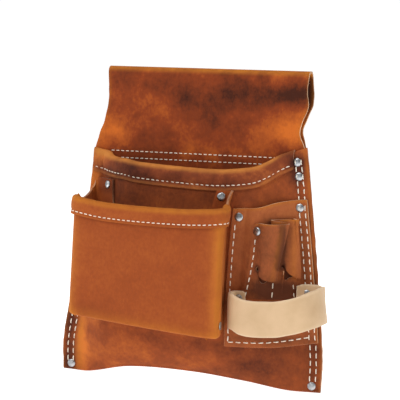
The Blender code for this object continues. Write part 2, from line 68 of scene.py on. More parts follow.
# Leather and stitching
PANEL = 2.4                # thickness of the back and pocket leather
STRIP = 1.8                # thickness of hems, tool pocket and sleeves
STRAP = 3.0                # thickness of the hammer loop
GAP = 0.3                  # clearance between layers
HEM_GAP = 0.8              # clearance inside a hem
CORNER_GAP = 1.3           # clearance inside a hem that turns corners
TOOL_GAP = 0.8             # clearance behind the tool pocket's sewn edges
GRID = 2.2                 # size of a leather mesh's cells
PRESS = 0.35               # depth of the groove that a sewn row presses into the leather
ROW_WIDTH = 1.6            # half width of that groove
SINK = 0.3                 # how far the thread of a seam sinks below the leather's face
LIGHT_SINK = 0.25          # the same where the leather is thin or soft
SEAM_THREAD = (8.3, 0.6)   # pitch and radius of the thread in the side seams, the tool pocket and the sleeves
FINE_THREAD = (5.6, 0.5)   # the same in the tunnel and the hems
STITCH_SHARE = 0.74        # part of the pitch that the thread shows
SEAM_STEPS = (12.5, 6.0)   # inner and outer row of a side seam, from the pouch's side
TUNNEL_ROWS = {"upper": 252.5, "lower": 245.0}

# Belt tunnel
TUNNEL_TOP = 345.0
TUNNEL_DEPTH = 18.0
FLEX_H = 266.0             # the leather bends here, just under the belt
TUNNEL_END_H = 239.0
BELT_Y = 6.5               # the frame's origin in y
BELT_H = TUNNEL_TOP - PANEL    # and in h

# Main pocket
FLANGE = 15.0              # sewn margin at each side
BULGE = 29.0               # how far the front stands off the flanges
PILLOW = 62.0              # height over which it swells from the bottom
MOUTH_H = 235.5            # lowest point of the mouth
HEM_BAND = 17.0
MAIN_STITCH = 13.0         # from the mouth's edge down to its sewn row
HEM_LEFT, HEM_RIGHT = -121.5, 106.5
BOTTOM_R = 3.0             # the leather folds round the bottom at this radius
MAIN_RIVETS = {"seam_rivet_right_top": (110, 249), "seam_rivet_right_upper": (112.5, 234),
               "corner_rivet_left": (-146.5, 11), "corner_rivet_right": (132.5, 10)}

# Nail pocket
NAIL_FRONT_Y = -76.0
NAIL_FACE = 12.0           # the wide front face is within this depth of NAIL_FRONT_Y
NAIL_BAND = 15.0
NAIL_STITCH = 11.5         # from the mouth's edge down to its sewn row
NAIL_GAP = 1.0
NAIL_FOLD_R = 4.0
NAIL_MIDDLE_H = 140        # the level whose x and y decide how low and high the pocket goes
NAIL_MOUTH_H = 195         # the same for its hem
NAIL_FLANGE_TOP = 217.5    # top of the right flange

# Tool pocket and sleeves
TOOL_ROW_IN = 4            # from the pocket's left edge to its sewn row
TOOL_ROW_UP = 5.5          # from its bottom edge to its sewn row
TOOL_RIVETS = {"tool_pocket_rivet_right": (115, 201), "tool_pocket_rivet_left": (54.5, 190)}
SLEEVE_RIVET = (76.0, 176.5)
SLEEVE_LOW = 104.0         # bottom edge of the strip
SLEEVE_GAP = 0.35          # clearance behind the strip
SLIT_HOLE_R = 1.95
SLIT_GAPE = 2.8            # how far a slit opens
HOLE_SHARE = 0.6           # how far the strip has risen where its slits start
TUBE_RISE = 28             # height over which a tube rises above its slit
TUBE_STEPS = 11            # places that a tube takes up on the strip's profile

# Hammer loop
STRAP_WIDTH = 38.0
STRAP_FRONT_Y = -62.0
TAB_LEFT_H = 93.0          # middle of the left tab
TAB_RIGHT_H = 101.5

# Rivets
HEAD_R = 4.6
TAIL_R = 3.3
SHANK_R = 1.9
RIVET_SIDES = 28
DIMPLE_R = 6.5             # a rivet pulls the leather in over this radius
DIMPLE = 0.9               # and this far

# Stage, in metres
ROOM_R = 6.0
CAMERA_AIM = Vector((0.0006, -0.0065, -0.140))
CAMERA_DISTANCE = 1.79
CAMERA_LENS = 148.5        # millimetres
LIGHT_AIM = Vector((0, 0, -0.17))

OUT = -1.0                 # y grows backwards, so a step out of the pouch is negative
SEED = 11
chance = random.Random(SEED)


# ---- curves and outlines

def smooth(knots, t):
    """The curve through knots [(t, value), ...] at t, level past both ends."""
    if t <= knots[0][0]:
        return knots[0][1]
    if t >= knots[-1][0]:
        return knots[-1][1]
    i = next(i for i in range(len(knots) - 1) if t <= knots[i + 1][0])
    (t0, a), (t1, b) = knots[i], knots[i + 1]
    before = knots[max(i - 1, 0)]
    after = knots[min(i + 2, len(knots) - 1)]
    slope_a = (b - before[1]) / (t1 - before[0])
    slope_b = (after[1] - a) / (after[0] - t0)
    s = (t - t0) / (t1 - t0)
    d = t1 - t0
    return ((2 * s**3 - 3 * s**2 + 1) * a + (s**3 - 2 * s**2 + s) * d * slope_a
            + (3 * s**2 - 2 * s**3) * b + (s**3 - s**2) * d * slope_b)


def curve(*knots):
    """smooth() through fixed knots, as a function."""
    return lambda t: smooth(knots, t)


def through(points, t):
    """The smooth curve through points at t, which counts points from 0."""
    i = min(max(int(t), 0), len(points) - 2)
    s = t - i
    a, b = Vector(points[i]), Vector(points[i + 1])
    before = Vector(points[i - 1]) if i > 0 else a * 2 - b
    after = Vector(points[i + 2]) if i + 2 < len(points) else b * 2 - a
    return 0.5 * (2 * a + (b - before) * s + (2 * before - 5 * a + 4 * b - after) * s**2
                  + (3 * a - before - 3 * b + after) * s**3)


def steps(a, b, count):
    return [a + (b - a) * i / (count - 1) for i in range(count)]


def cells(length):
    """How many grid points a length needs."""
    return max(3, int(length / GRID) + 2)


def clamp(value, low=0.0, high=1.0):
    return min(high, max(low, value))


def ease(value):
    """0 to 1, level at both ends."""
    s = clamp(value)
    return s * s * (3 - 2 * s)


def bump_at(distance, width):
    """1 on a line, falling to 0 about a width away."""
    return math.exp(-(distance / width) ** 2)


# The pouch's outline: x of its sides at a height, h of its bottom edge at an x, and how far the main
# pocket's mouth is above its lowest point there
left_edge = curve((0, -156), (40, -156), (120, -142), (207, -127), (252, -122), (268, -118), (284, -112),
                  (310, -107), (345, -108))
right_edge = curve((0, 142), (40, 143), (120, 136), (207, 126), (252, 120), (268, 115), (280, 111),
                   (292, 114), (310, 121), (345, 120))
bottom_edge = curve((-150, 4), (-125, 4), (-75, 14), (0, 14.5), (60, 9), (105, 3), (140, 3))
mouth_rise = curve((-122, 12.5), (-110, 10), (-97, 8), (-86, 7), (-76, 6.6), (-60, 4.2), (-12, 1.2), (30, 0),
                   (55, 1.8), (70, 4.6), (82, 10.5), (93, 17.5), (107, 24.5), (120, 29.5))

# The tool pocket's left, top and bottom edges, and how much of its slack it has at a height
tool_left = curve((50, 42), (120, 43.5), (200, 48))
tool_top = curve((46, 199), (75, 201), (98, 207), (125, 210))
tool_bottom = curve((40, 50), (90, 51), (142, 60))
tool_slack = curve((60, 0.0), (95, 0.75), (205, 1.0))

# The sleeves' sewn rows
sleeve_left_row = curve((102, 64.6), (106, 65.6), (122, 69.3), (142, 73.0), (170, 75.5), (188, 77))
sleeve_middle_row = curve((104, 92.4), (120, 93.2), (134, 93.9), (160, 92.5), (189, 90.2))
sleeve_right_row = curve((104, 113.6), (122, 112.0), (150, 110.6), (188, 109.5))


def mouth_edge(x):
    return MOUTH_H + mouth_rise(x)


def from_side(x, h):
    """Distance in from the pouch's nearer side."""
    return min(x - left_edge(h), right_edge(h) - x)


def bulge(x, h):
    """How far the main pocket's front stands off its flanges."""
    left = left_edge(h) + FLANGE
    right = right_edge(h) - FLANGE
    s = (x - left) / (right - left)
    if not 0 < s < 1:
        return 0.0
    side = math.sin(math.pi / 2 * min(1, s / 0.24))
    side *= math.cos(math.pi / 2 * max(0, (s - 0.55) / 0.45)) ** 1.1
    low = clamp((h - bottom_edge(x)) / PILLOW)
    mouth = 1 - 0.1 * max(0, (h - 150) / 100)
    return BULGE * side * math.sin(math.pi / 2 * low) ** 0.6 * mouth


def wave(x, h):
    """Slow unevenness of hand-cut leather, -1 to 1."""
    slow = noise.noise(Vector((x / 55.0, h / 70.0, 3.1)))
    return slow + 0.4 * noise.noise(Vector((x / 22.0, h / 26.0, 8.7)))


def front_y(x, h):
    """Outer face of the main pocket."""
    out = bulge(x, h)
    return -(2 * PANEL + GAP) - out - 1.1 * wave(x, h) * clamp(out / 10)


def tool_right(h):
    return right_edge(h) - 3.0


def tool_gape(x, h):
    """How far the tool pocket stands off the main pocket."""
    left = tool_left(h) + 15
    right = right_edge(h) - FLANGE - 4
    s = (x - left) / (right - left)
    if not 0 < s < 1:
        return 0.0
    return 9.0 * math.sin(math.pi * s) ** 0.8 * tool_slack(h)


def tool_y(x, h):
    """Outer face of the tool pocket."""
    return front_y(x, h) - TOOL_GAP - STRIP - tool_gape(x, h)


def pressed(distances, depth=PRESS):
    """How deep sewn rows at these distances press the leather in."""
    return sum(depth * bump_at(distance, ROW_WIDTH) for distance in distances)


def surface_normal(surface, x, h):
    """Unit vector out of a surface y(x, h), in the file's x, y, h."""
    dx = (surface(x + 1, h) - surface(x - 1, h)) / 2
    dh = (surface(x, h + 1) - surface(x, h - 1)) / 2
    return Vector((dx, OUT, dh)).normalized()


def at(x, y, h):
    return Vector((x, y - BELT_Y, h - BELT_H)) * 0.001


# ---- materials

def new_material(name, roughness, **constants):
    """A Principled material. Values that are the same all over go straight on the shader's sockets."""
    made = bpy.data.materials.new(name)
    made.use_nodes = True
    shader = made.node_tree.nodes["Principled BSDF"]
    shader.inputs["Roughness"].default_value = roughness
    for key, value in constants.items():
        shader.inputs[key.replace("_", " ")].default_value = value
    return made, made.node_tree, shader


def add(tree, kind, values=(), **settings):
    """A node with its settings, and its inputs from {socket: number, colour or another node's output}."""
    made = tree.nodes.new(kind)
    for key, value in settings.items():
        setattr(made, key, value)
    for key, value in dict(values).items():
        if isinstance(value, bpy.types.NodeSocket):
            tree.links.new(value, made.inputs[key])
        else:
            made.inputs[key].default_value = value
    return made


def calculate(tree, operation, a, b, c=0.0):
    return add(tree, "ShaderNodeMath", {0: a, 1: b, 2: c}, operation=operation).outputs[0]


def cloud(tree, place, scale, detail=3.0, roughness=0.55, distortion=0.0):
    values = {"Vector": place, "Scale": scale, "Detail": detail, "Roughness": roughness,
              "Distortion": distortion}
    return add(tree, "ShaderNodeTexNoise", values).outputs["Fac"]


def ramp(tree, value, stops):
    made = add(tree, "ShaderNodeValToRGB", {"Fac": value})
    elements = made.color_ramp.elements
    while len(elements) < len(stops):
        elements.new(0.5)
    for element, (position, colour) in zip(elements, stops):
        element.position = position
        element.color = (*colour, 1)
    return made.outputs["Color"]


def mix(tree, share, a, b):
    return add(tree, "ShaderNodeMix", {0: share, 6: a, 7: b}, data_type="RGBA").outputs[2]


def bump(tree, height, distance, strength=1.0, below=None):
    values = {"Height": height, "Distance": distance, "Strength": strength}
    if below is not None:
        values["Normal"] = below
    return add(tree, "ShaderNodeBump", values).outputs["Normal"]


def attribute(tree, name, output="Fac"):
    return add(tree, "ShaderNodeAttribute", attribute_name=name, attribute_type="GEOMETRY").outputs[output]


def object_place(tree):
    return add(tree, "ShaderNodeTexCoord").outputs["Object"]


def connect(tree, shader, **textures):
    """Node outputs into the shader's sockets: Base_Color, Roughness or Normal."""
    for key, value in textures.items():
        tree.links.new(value, shader.inputs[key.replace("_", " ")])


def suede(name, dark, middle, light, worn_and_lit_colour, mottle=1.0):
    """Oiled suede: slow mottles, brushed patches of nap, grain, fine fibres, and folds lighter from rubbing
    and from a painted highlight on their lit crests.
    """
    made, tree, shader = new_material(name, 0.85, Sheen_Weight=0.1, Sheen_Roughness=0.45,
                                      Sheen_Tint=(1.0, 0.5, 0.2, 1), Specular_IOR_Level=0.15)
    place = attribute(tree, "rest", "Vector")
    brushed = add(tree, "ShaderNodeMapping", {"Vector": place, "Rotation": (0, 0.5, 0), "Scale": (1, 1, 0.4)})
    mottles = cloud(tree, place, 17, 2.5, 0.5, 0.8)
    patches = cloud(tree, place, 70, 3, 0.55, 0.3)
    grain = cloud(tree, place, 260, 3, 0.6)
    fibres = cloud(tree, brushed.outputs["Vector"], 620, 3, 0.7)
    # Per-point lightness: the leather's own colour mixed with painted light and shade, lighter on lit edges,
    # darker in recesses, under parts and inside openings.
    value = calculate(tree, "MULTIPLY_ADD", attribute(tree, "tone_and_light"), 0.5, 0.5)
    layers = ((mottles, 0.9 * mottle), (patches, 0.4 * mottle + 0.12), (grain, 0.35), (fibres, 0.3))
    for layer, share in layers:
        centred = calculate(tree, "SUBTRACT", layer, 0.5)
        value = calculate(tree, "MULTIPLY_ADD", centred, share, value)
    colour = ramp(tree, value, [(0.0, dark), (0.5, middle), (1.0, light)])
    # The light orange mixed in here stands for wear and for the painted highlight on lit fold crests and top
    # edges.
    patchy = calculate(tree, "MULTIPLY_ADD", patches, 1.4, 0.2)
    rubbed_and_lit = calculate(tree, "MULTIPLY", attribute(tree, "wear_and_highlight"), patchy)
    coarse = bump(tree, patches, 0.0012, 0.35)
    fine = bump(tree, fibres, 0.0005, 0.55, coarse)
    connect(tree, shader, Base_Color=mix(tree, rubbed_and_lit, colour, worn_and_lit_colour),
            Roughness=calculate(tree, "MULTIPLY_ADD", fibres, 0.3, 0.68),
            Normal=bump(tree, cloud(tree, place, 1700, 2, 0.7), 0.0002, 0.5, fine))
    return made


def cut_edge(name, dark, light):
    """The fibrous raw edge of cut leather."""
    made, tree, shader = new_material(name, 0.9, Sheen_Weight=0.15, Specular_IOR_Level=0.2)
    place = attribute(tree, "rest", "Vector")
    fibres = cloud(tree, place, 700, 3, 0.7)
    layers = cloud(tree, place, 120, 2)
    value = calculate(tree, "MULTIPLY_ADD", fibres, 0.6, calculate(tree, "MULTIPLY", layers, 0.5))
    # The same per-point lightness, with its painted shade, darkens the cut edge.
    value = calculate(tree, "MULTIPLY_ADD", attribute(tree, "tone_and_light"), 0.2, value)
    connect(tree, shader, Normal=bump(tree, fibres, 0.0004, 0.7),
            Base_Color=ramp(tree, value, [(0.0, (0.04, 0.012, 0.006)), (0.3, dark), (0.75, light)]))
    return made


def strap_hide(name):
    """Smooth undyed hide with faint clouds and pores."""
    made, tree, shader = new_material(name, 0.5, Specular_IOR_Level=0.35, Sheen_Weight=0.08)
    place = attribute(tree, "rest", "Vector")
    clouds = cloud(tree, place, 32, 4, 0.5)
    pores = add(tree, "ShaderNodeTexVoronoi", {"Vector": place, "Scale": 1100}).outputs["Distance"]
    hide = [(0.3, (0.53, 0.35, 0.19)), (0.5, (0.60, 0.41, 0.235)), (0.72, (0.66, 0.455, 0.27))]
    speckle = calculate(tree, "MULTIPLY", calculate(tree, "LESS_THAN", pores, 0.22), 0.18)
    colour = mix(tree, speckle, ramp(tree, clouds, hide), (0.42, 0.26, 0.14, 1))
    rubbed_and_lit = calculate(tree, "MULTIPLY", attribute(tree, "wear_and_highlight"), 0.6)
    soft = bump(tree, cloud(tree, place, 240, 3), 0.0004, 0.35)
    connect(tree, shader, Base_Color=mix(tree, rubbed_and_lit, colour, (0.72, 0.56, 0.37, 1)),
            Roughness=calculate(tree, "MULTIPLY_ADD", clouds, 0.25, 0.38),
            Normal=bump(tree, pores, 0.00015, 0.5, soft))
    return made


def thread_yarn(name):
    """Waxed off-white thread with its twist."""
    made, tree, shader = new_material(name, 0.6, Sheen_Weight=0.3, Specular_IOR_Level=0.4)
    place = object_place(tree)
    turned = add(tree, "ShaderNodeMapping", {"Vector": place, "Rotation": (0.6, 0.7, 0.5)}).outputs["Vector"]
    values = {"Vector": turned, "Scale": 420, "Distortion": 1.5, "Detail": 1}
    twist = add(tree, "ShaderNodeTexWave", values).outputs["Fac"]
    colour = ramp(tree, twist, [(0.0, (0.78, 0.70, 0.54)), (0.6, (0.97, 0.93, 0.81))])
    dust = calculate(tree, "MULTIPLY", cloud(tree, place, 60), 0.3)
    connect(tree, shader, Base_Color=mix(tree, dust, colour, (0.66, 0.47, 0.30, 1)),
            Normal=bump(tree, twist, 0.0002, 0.6))
    return made


def nickel(name):
    """Plated rivet metal, slightly scuffed."""
    made, tree, shader = new_material(name, 0.25, Metallic=1.0)
    place = object_place(tree)
    scuffs = cloud(tree, place, 900, 4, 0.7)
    stains = cloud(tree, place, 260, 3)
    connect(tree, shader, Roughness=calculate(tree, "MULTIPLY_ADD", scuffs, 0.35, 0.12),
            Base_Color=ramp(tree, stains, [(0.35, (0.24, 0.25, 0.26)), (0.65, (0.48, 0.495, 0.51))]),
            Normal=bump(tree, scuffs, 0.00008, 0.4))
    return made


# Light orange of rubbing wear that also serves as the painted highlight on lit folds; the hem's golden fuzz
# below does the same.
RUBBED_AND_LIT = (0.46, 0.145, 0.016, 1)
FUZZ_AND_LIT = (0.50, 0.18, 0.036, 1)
BACK_SUEDE = suede("back_suede", (0.052, 0.012, 0.005), (0.23, 0.041, 0.009), (0.54, 0.125, 0.016),
                   RUBBED_AND_LIT, 1.1)
POCKET_SUEDE = suede("pocket_suede", (0.085, 0.020, 0.009), (0.28, 0.062, 0.016), (0.56, 0.15, 0.024),
                     RUBBED_AND_LIT)
NAIL_SUEDE = suede("nail_suede", (0.155, 0.031, 0.008), (0.295, 0.062, 0.0135), (0.48, 0.13, 0.023),
                   RUBBED_AND_LIT, 0.35)
TOOL_SUEDE = suede("tool_suede", (0.11, 0.031, 0.013), (0.33, 0.090, 0.028), (0.52, 0.17, 0.050),
                   RUBBED_AND_LIT, 0.5)
HEM_SUEDE = suede("hem_suede", (0.055, 0.013, 0.007), (0.21, 0.046, 0.015), (0.50, 0.145, 0.032), FUZZ_AND_LIT, 1.3)
PALE_EDGE = cut_edge("pale_cut_edge", (0.36, 0.16, 0.06), (0.74, 0.47, 0.27))
BROWN_EDGE = cut_edge("brown_cut_edge", (0.18, 0.06, 0.025), (0.45, 0.20, 0.09))
HIDE_EDGE = cut_edge("hide_cut_edge", (0.55, 0.36, 0.20), (0.82, 0.63, 0.43))
STRAP_HIDE = strap_hide("strap_hide")
YARN = thread_yarn("thread_yarn")
NICKEL = nickel("rivet_nickel")


# ---- meshes

def grid_faces(columns, rows, keep=lambda i, j: True):
    """Quads of a grid stored column by column."""
    return [(i * rows + j, (i + 1) * rows + j, (i + 1) * rows + j + 1, i * rows + j + 1)
            for i in range(columns - 1) for j in range(rows - 1) if keep(i, j)]


def plain(x, y, h):
    return 0.0


def add_piece(name, mesh, materials):
    for look in materials:
        mesh.materials.append(look)
    made = bpy.data.objects.new(name, mesh)
    bpy.context.scene.collection.objects.link(made)
    return made


def mesh_of(work, name, smooth=True):
    """A mesh from a bmesh, which is freed."""
    mesh = bpy.data.meshes.new(name)
    work.to_mesh(mesh)
    work.free()
    if smooth:
        mesh.shade_smooth()
    return mesh


def settle(made, slot, *nodes):
    """Part of the pouch's body, in place of CAD nodes."""
    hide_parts(*nodes)
    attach(made, "pouch")


def bake_modifiers(made):
    """The piece's modifiers become its mesh."""
    bpy.context.view_layer.update()
    graph = bpy.context.evaluated_depsgraph_get()
    mesh = bpy.data.meshes.new_from_object(made.evaluated_get(graph))
    old = made.data
    made.modifiers.clear()
    made.data = mesh
    bpy.data.meshes.remove(old)
    mesh.name = made.name


def mark(mesh, name, values):
    layer = mesh.attributes.new(name, "FLOAT", "POINT")
    layer.data.foreach_set("value", values)


def leather(name, spots, faces, thickness, looks, tone_and_light=plain, wear_and_highlight=plain, rim=0.55):
    """A leather sheet from spots in millimetres on its outer face, thickened inwards, with rounded cut
    edges. The two functions after the looks give at x, y, h how light the leather is, as its own colour with
    painted light and shade, and how much of the light rubbing colour it takes, as wear with painted
    highlights on lit crests."""
    mesh = bpy.data.meshes.new(name)
    mesh.from_pydata([tuple(at(*spot)) for spot in spots], [], faces)
    mark(mesh, "tone_and_light", [tone_and_light(*spot) for spot in spots])
    mark(mesh, "wear_and_highlight", [clamp(wear_and_highlight(*spot)) for spot in spots])
    made = add_piece(name, mesh, looks)
    weld = made.modifiers.new("weld", "WELD")
    weld.merge_threshold = 0.00002
    solid = made.modifiers.new("thickness", "SOLIDIFY")
    solid.thickness = thickness * 0.001
    solid.offset = -1
    solid.material_offset_rim = 1
    edge = made.modifiers.new("edge", "BEVEL")
    edge.width = rim * 0.001
    edge.segments = 2
    edge.limit_method = "ANGLE"
    edge.angle_limit = math.radians(55)
    bake_modifiers(made)
    finish_mesh(made.data)
    return made


def finish_mesh(mesh):
    """Smooth shading, and each point's place at rest, which the leather's pattern is tied to."""
    mesh.shade_smooth()
    rest = mesh.attributes.new("rest", "FLOAT_VECTOR", "POINT")
    flat = [value for vertex in mesh.vertices for value in vertex.co]
    rest.data.foreach_set("vector", flat)


def fuzz(spot, amount, size):
    """Fine unevenness at a spot."""
    return amount * noise.noise(Vector(spot) / size)


def blobs(spots):
    """Lightness from soft blobs [(x, h, half width, half height, strength), ...]: the leather's own colour,
    and painted light and shade where blobs sit on lit edges, in recesses and under parts.
    """
    def tone_and_light(x, y, h):
        return sum(strength * math.exp(-((x - at_x) / wide) ** 2 - ((h - at_h) / tall) ** 2)
                   for at_x, at_h, wide, tall, strength in spots)
    return tone_and_light


def dimpled(x, h, rivets):
    """How far leather is pulled in near rivets {name: (x, h)}."""
    return sum(DIMPLE * bump_at(math.hypot(x - rx, h - rh), DIMPLE_R) for rx, rh in rivets.values())


# ---- sewn rows

def stitch(work, path, normal_at, start, end, radius):
    """One stitch: a twisted strand that leaves the leather, lies on it and goes back in."""
    sides, rings = 8, 9
    shift = chance.uniform(-0.22, 0.22)
    previous = None
    for k in range(rings):
        s = k / (rings - 1)
        where = start + (end - start) * s
        spot = path(where)
        ahead = (path(where + 0.4) - path(where - 0.4)).normalized()
        normal = normal_at(where)
        across = ahead.cross(normal).normalized()
        arch = math.sin(math.pi * s) ** 0.45
        middle = spot + normal * (-0.75 + 1.15 * arch) + across * shift * (2 * s - 1)
        size = radius * (0.75 + 0.25 * arch)
        ring = []
        for side in range(sides):
            a = 2 * math.pi * side / sides
            r = size * (1 + 0.13 * math.cos(2 * a - 9 * s))
            edge = middle + across * r * math.cos(a) + normal * r * math.sin(a)
            ring.append(work.verts.new(at(*edge)))
        if previous:
            for side in range(sides):
                after = (side + 1) % sides
                work.faces.new((previous[side], previous[after], ring[after], ring[side]))
        else:
            work.faces.new(ring[::-1])
        previous = ring
    work.faces.new(previous)


def along(spots):
    """A function from distance along a line of spots to a place on it, and the line's length."""
    lengths = [0.0]
    for a, b in zip(spots, spots[1:]):
        lengths.append(lengths[-1] + (b - a).length)

    def place(distance):
        i = next((i for i in range(len(lengths) - 2) if distance < lengths[i + 1]), len(lengths) - 2)
        share = (distance - lengths[i]) / (lengths[i + 1] - lengths[i])
        return spots[i].lerp(spots[i + 1], share)
    return place, lengths[-1]


def sew(work, spots, normals, thread):
    """Stitches along a line of spots with the leather's normals there."""
    path, length = along(spots)
    spacing, radius = thread
    count = max(1, round(length / spacing))
    pitch = length / count

    def normal_at(distance):
        i = clamp(distance / length) * (len(normals) - 1)
        low = min(int(i), len(normals) - 2)
        return normals[low].lerp(normals[low + 1], i - low).normalized()

    for k in range(count):
        stitch(work, path, normal_at, k * pitch, k * pitch + pitch * STITCH_SHARE, radius)


def thread_piece(name, lines, thread=SEAM_THREAD):
    """A sewn row as one piece, from lines [(spots, normals), ...]."""
    work = bmesh.new()
    for spots, normals in lines:
        sew(work, spots, normals, thread)
    bmesh.ops.recalc_face_normals(work, faces=work.faces)
    settle(add_piece("sewn_" + name, mesh_of(work, name), [YARN]), "thread", name)


def line_on(surface, spots, lift=0.0):
    """(spots, normals) of a row along [(x, h), ...] on a surface y(x, h)."""
    normals = [surface_normal(surface, x, h) for x, h in spots]
    lifted = [Vector((x, surface(x, h), h)) + normal * lift for (x, h), normal in zip(spots, normals)]
    return lifted, normals


def rear_line(y, spots):
    """(spots, normals) of a row's other side, on a flat rear face."""
    return [Vector((x, y, h)) for x, h in spots], [Vector((0, 1, 0)) for _ in spots]


# ---- rivets

def turned_mesh(name, profile):
    """A closed solid turned about Z from profile [(radius, along), ...] in millimetres."""
    work = bmesh.new()
    points = [work.verts.new((radius * 0.001, 0, height * 0.001)) for radius, height in profile]
    edges = [work.edges.new(pair) for pair in zip(points, points[1:])]
    bmesh.ops.spin(work, geom=points + edges, cent=(0, 0, 0), axis=(0, 0, 1), angle=2 * math.pi,
                   steps=RIVET_SIDES, use_merge=True)
    bmesh.ops.remove_doubles(work, verts=work.verts, dist=0.00001)
    bmesh.ops.recalc_face_normals(work, faces=work.faces)
    return mesh_of(work, name)


def rivet(name, spot, normal, grip):
    """A capped rivet: low dome with a rolled rim, shank, and a cupped tail at the far side."""
    low = -grip - 0.1
    cap = [(0, 1.2), (1.6, 1.17), (3.0, 1.05), (3.9, 0.85), (4.4, 0.55), (HEAD_R, 0.22), (4.5, 0.0),
           (4.2, -0.12), (SHANK_R, -0.12)]
    tail = [(SHANK_R, low), (3.0, low), (TAIL_R, low - 0.25), (TAIL_R - 0.1, low - 0.7), (2.6, low - 0.95),
            (SHANK_R, low - 0.8), (1.3, low - 0.35), (0, low - 0.2)]
    made = add_piece("capped_" + name, turned_mesh(name, cap + tail), [NICKEL])
    made.matrix_world = Matrix.Translation(at(*spot)) @ normal.to_track_quat("Z", "Y").to_matrix().to_4x4()
    settle(made, "nickel", name)


def rivet_on(name, surface, x, h, grip, sink=DIMPLE):
    normal = surface_normal(surface, x, h)
    rivet(name, Vector((x, surface(x, h), h)) - normal * (sink - 0.1), normal, grip - sink)


# ---- flap, belt tunnel and back panel

def flap_section():
    """Outer face up the front, over the belt and down to the sewn end behind, as (y, h)."""
    radius = TUNNEL_DEPTH / 2
    centre_y = -PANEL + radius
    centre_h = TUNNEL_TOP - radius
    front = [(-PANEL, h) for h in steps(0, centre_h - 8, cells(centre_h - 8))]
    fold = [(centre_y - radius * math.cos(a), centre_h + radius * math.sin(a))
            for a in steps(0.12, math.pi - 0.2, 19)]
    rear_y = TUNNEL_DEPTH - PANEL
    sewn_y = GAP + PANEL
    knots = [(rear_y, 328.0), (rear_y, 310.0), (rear_y - 0.3, 292.0), (rear_y - 2.5, 279.0), (9.0, 267.0),
             (4.3, 257.5), (sewn_y, 251.0), (sewn_y, 245.0), (sewn_y, TUNNEL_END_H)]
    rear = [tuple(through(knots, t)) for t in steps(0, len(knots) - 1, 44)]
    return front + fold + rear


def flap_point(u, y, h, behind):
    """A spot of the flap's outer face; behind is 1 on the rear layers."""
    margin = 1.0 * behind * ease((258 - h) / 10)
    ragged = 0.5 * noise.noise(Vector((h / 9.0, 4.0 * behind, 1.0)))
    left = left_edge(h) + margin + ragged
    right = right_edge(h) - margin + ragged - 3.0 * (1 - behind) * bump_at(h - 324, 14)
    x = left + (right - left) * u
    free = ease((h - 258) / 25)
    side = 1 - 2 * behind
    y += -side * 1.6 * wave(x, h * (1 - 0.3 * behind)) * free
    rows = sum(bump_at(h - row, 1.5) for row in TUNNEL_ROWS.values())
    y += side * 0.25 * rows * ease((108 - abs(x)) / 4)
    return x, y, h


def make_flap():
    section = flap_section()
    top = max(range(len(section)), key=lambda i: section[i][1])
    columns = steps(0, 1, cells(245))
    spots = []
    for u in columns:
        for k, (y, h) in enumerate(section):
            if h < FLEX_H and k < top:
                x = left_edge(0) + (right_edge(0) - left_edge(0)) * u
                low = bottom_edge(x) + BOTTOM_R + 0.3
                h = low + (FLEX_H - low) * h / FLEX_H
            spots.append(flap_point(u, y, h, float(k > top)))
    front_tone = blobs([
        (50, 321, 44, 17, -0.8), (102, 321, 26, 13, -0.9), (-42, 324, 40, 15, -0.55),
        (-12, 301, 18, 20, -0.7), (-62, 316, 12, 9, 0.3), (28, 298, 26, 20, -0.5), (-98, 276, 22, 15, 0.75),
        (98, 284, 32, 17, 0.7), (70, 271, 30, 12, 0.4), (-55, 303, 20, 13, 0.2), (-100, 300, 12, 14, 0.3),
        (0, 255, 110, 8, 0.1)])

    def tone_and_light(x, y, h):
        # The subtracted term is painted shade on the inside of the rear layer at the right end, where the
        # tunnel opens.
        return front_tone(x, y, h) - 0.7 * ease((y - 4) / 4) * ease((x - 100) / 6) * ease((h - 296) / 10)

    def wear_and_highlight(x, y, h):
        # Lighter along the top fold from rubbing and from a painted highlight, and along the cut sides from
        # rubbing.
        return 0.9 * ease((h - 338) / 6) + 0.4 * bump_at(from_side(x, h), 2.5)

    made = leather("flap_and_back", spots, grid_faces(len(columns), len(section)), PANEL,
                   [BACK_SUEDE, PALE_EDGE], tone_and_light, wear_and_highlight)
    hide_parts("belt_tunnel", "back_panel", "tunnel_end")
    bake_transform(made)


# ---- main pocket

def main_spot(u, v):
    """Outer face of the main pocket; below v = 0 the leather folds round the bottom."""
    x = left_edge(0) + (right_edge(0) - left_edge(0)) * u
    low = bottom_edge(x)
    h = low + (250 - low) * max(v, 0)
    x = left_edge(h) + (right_edge(h) - left_edge(h)) * u
    x += 0.5 * noise.noise(Vector((h / 9.0, 2.0, u))) * (1 if u in (0.0, 1.0) else 0)
    start = low + BOTTOM_R
    if v < 0:
        a = -v * math.pi
        depth = -front_y(x, start)
        return Vector((x, -depth / 2 - depth / 2 * math.cos(a), start - BOTTOM_R * math.sin(a)))
    h = start + (mouth_edge(x) - start) * v
    y = front_y(x, h)
    for step in SEAM_STEPS:
        y += pressed((x - left_edge(h) - step, right_edge(h) - step - x))
    return Vector((x, y + dimpled(x, h, MAIN_RIVETS), h))


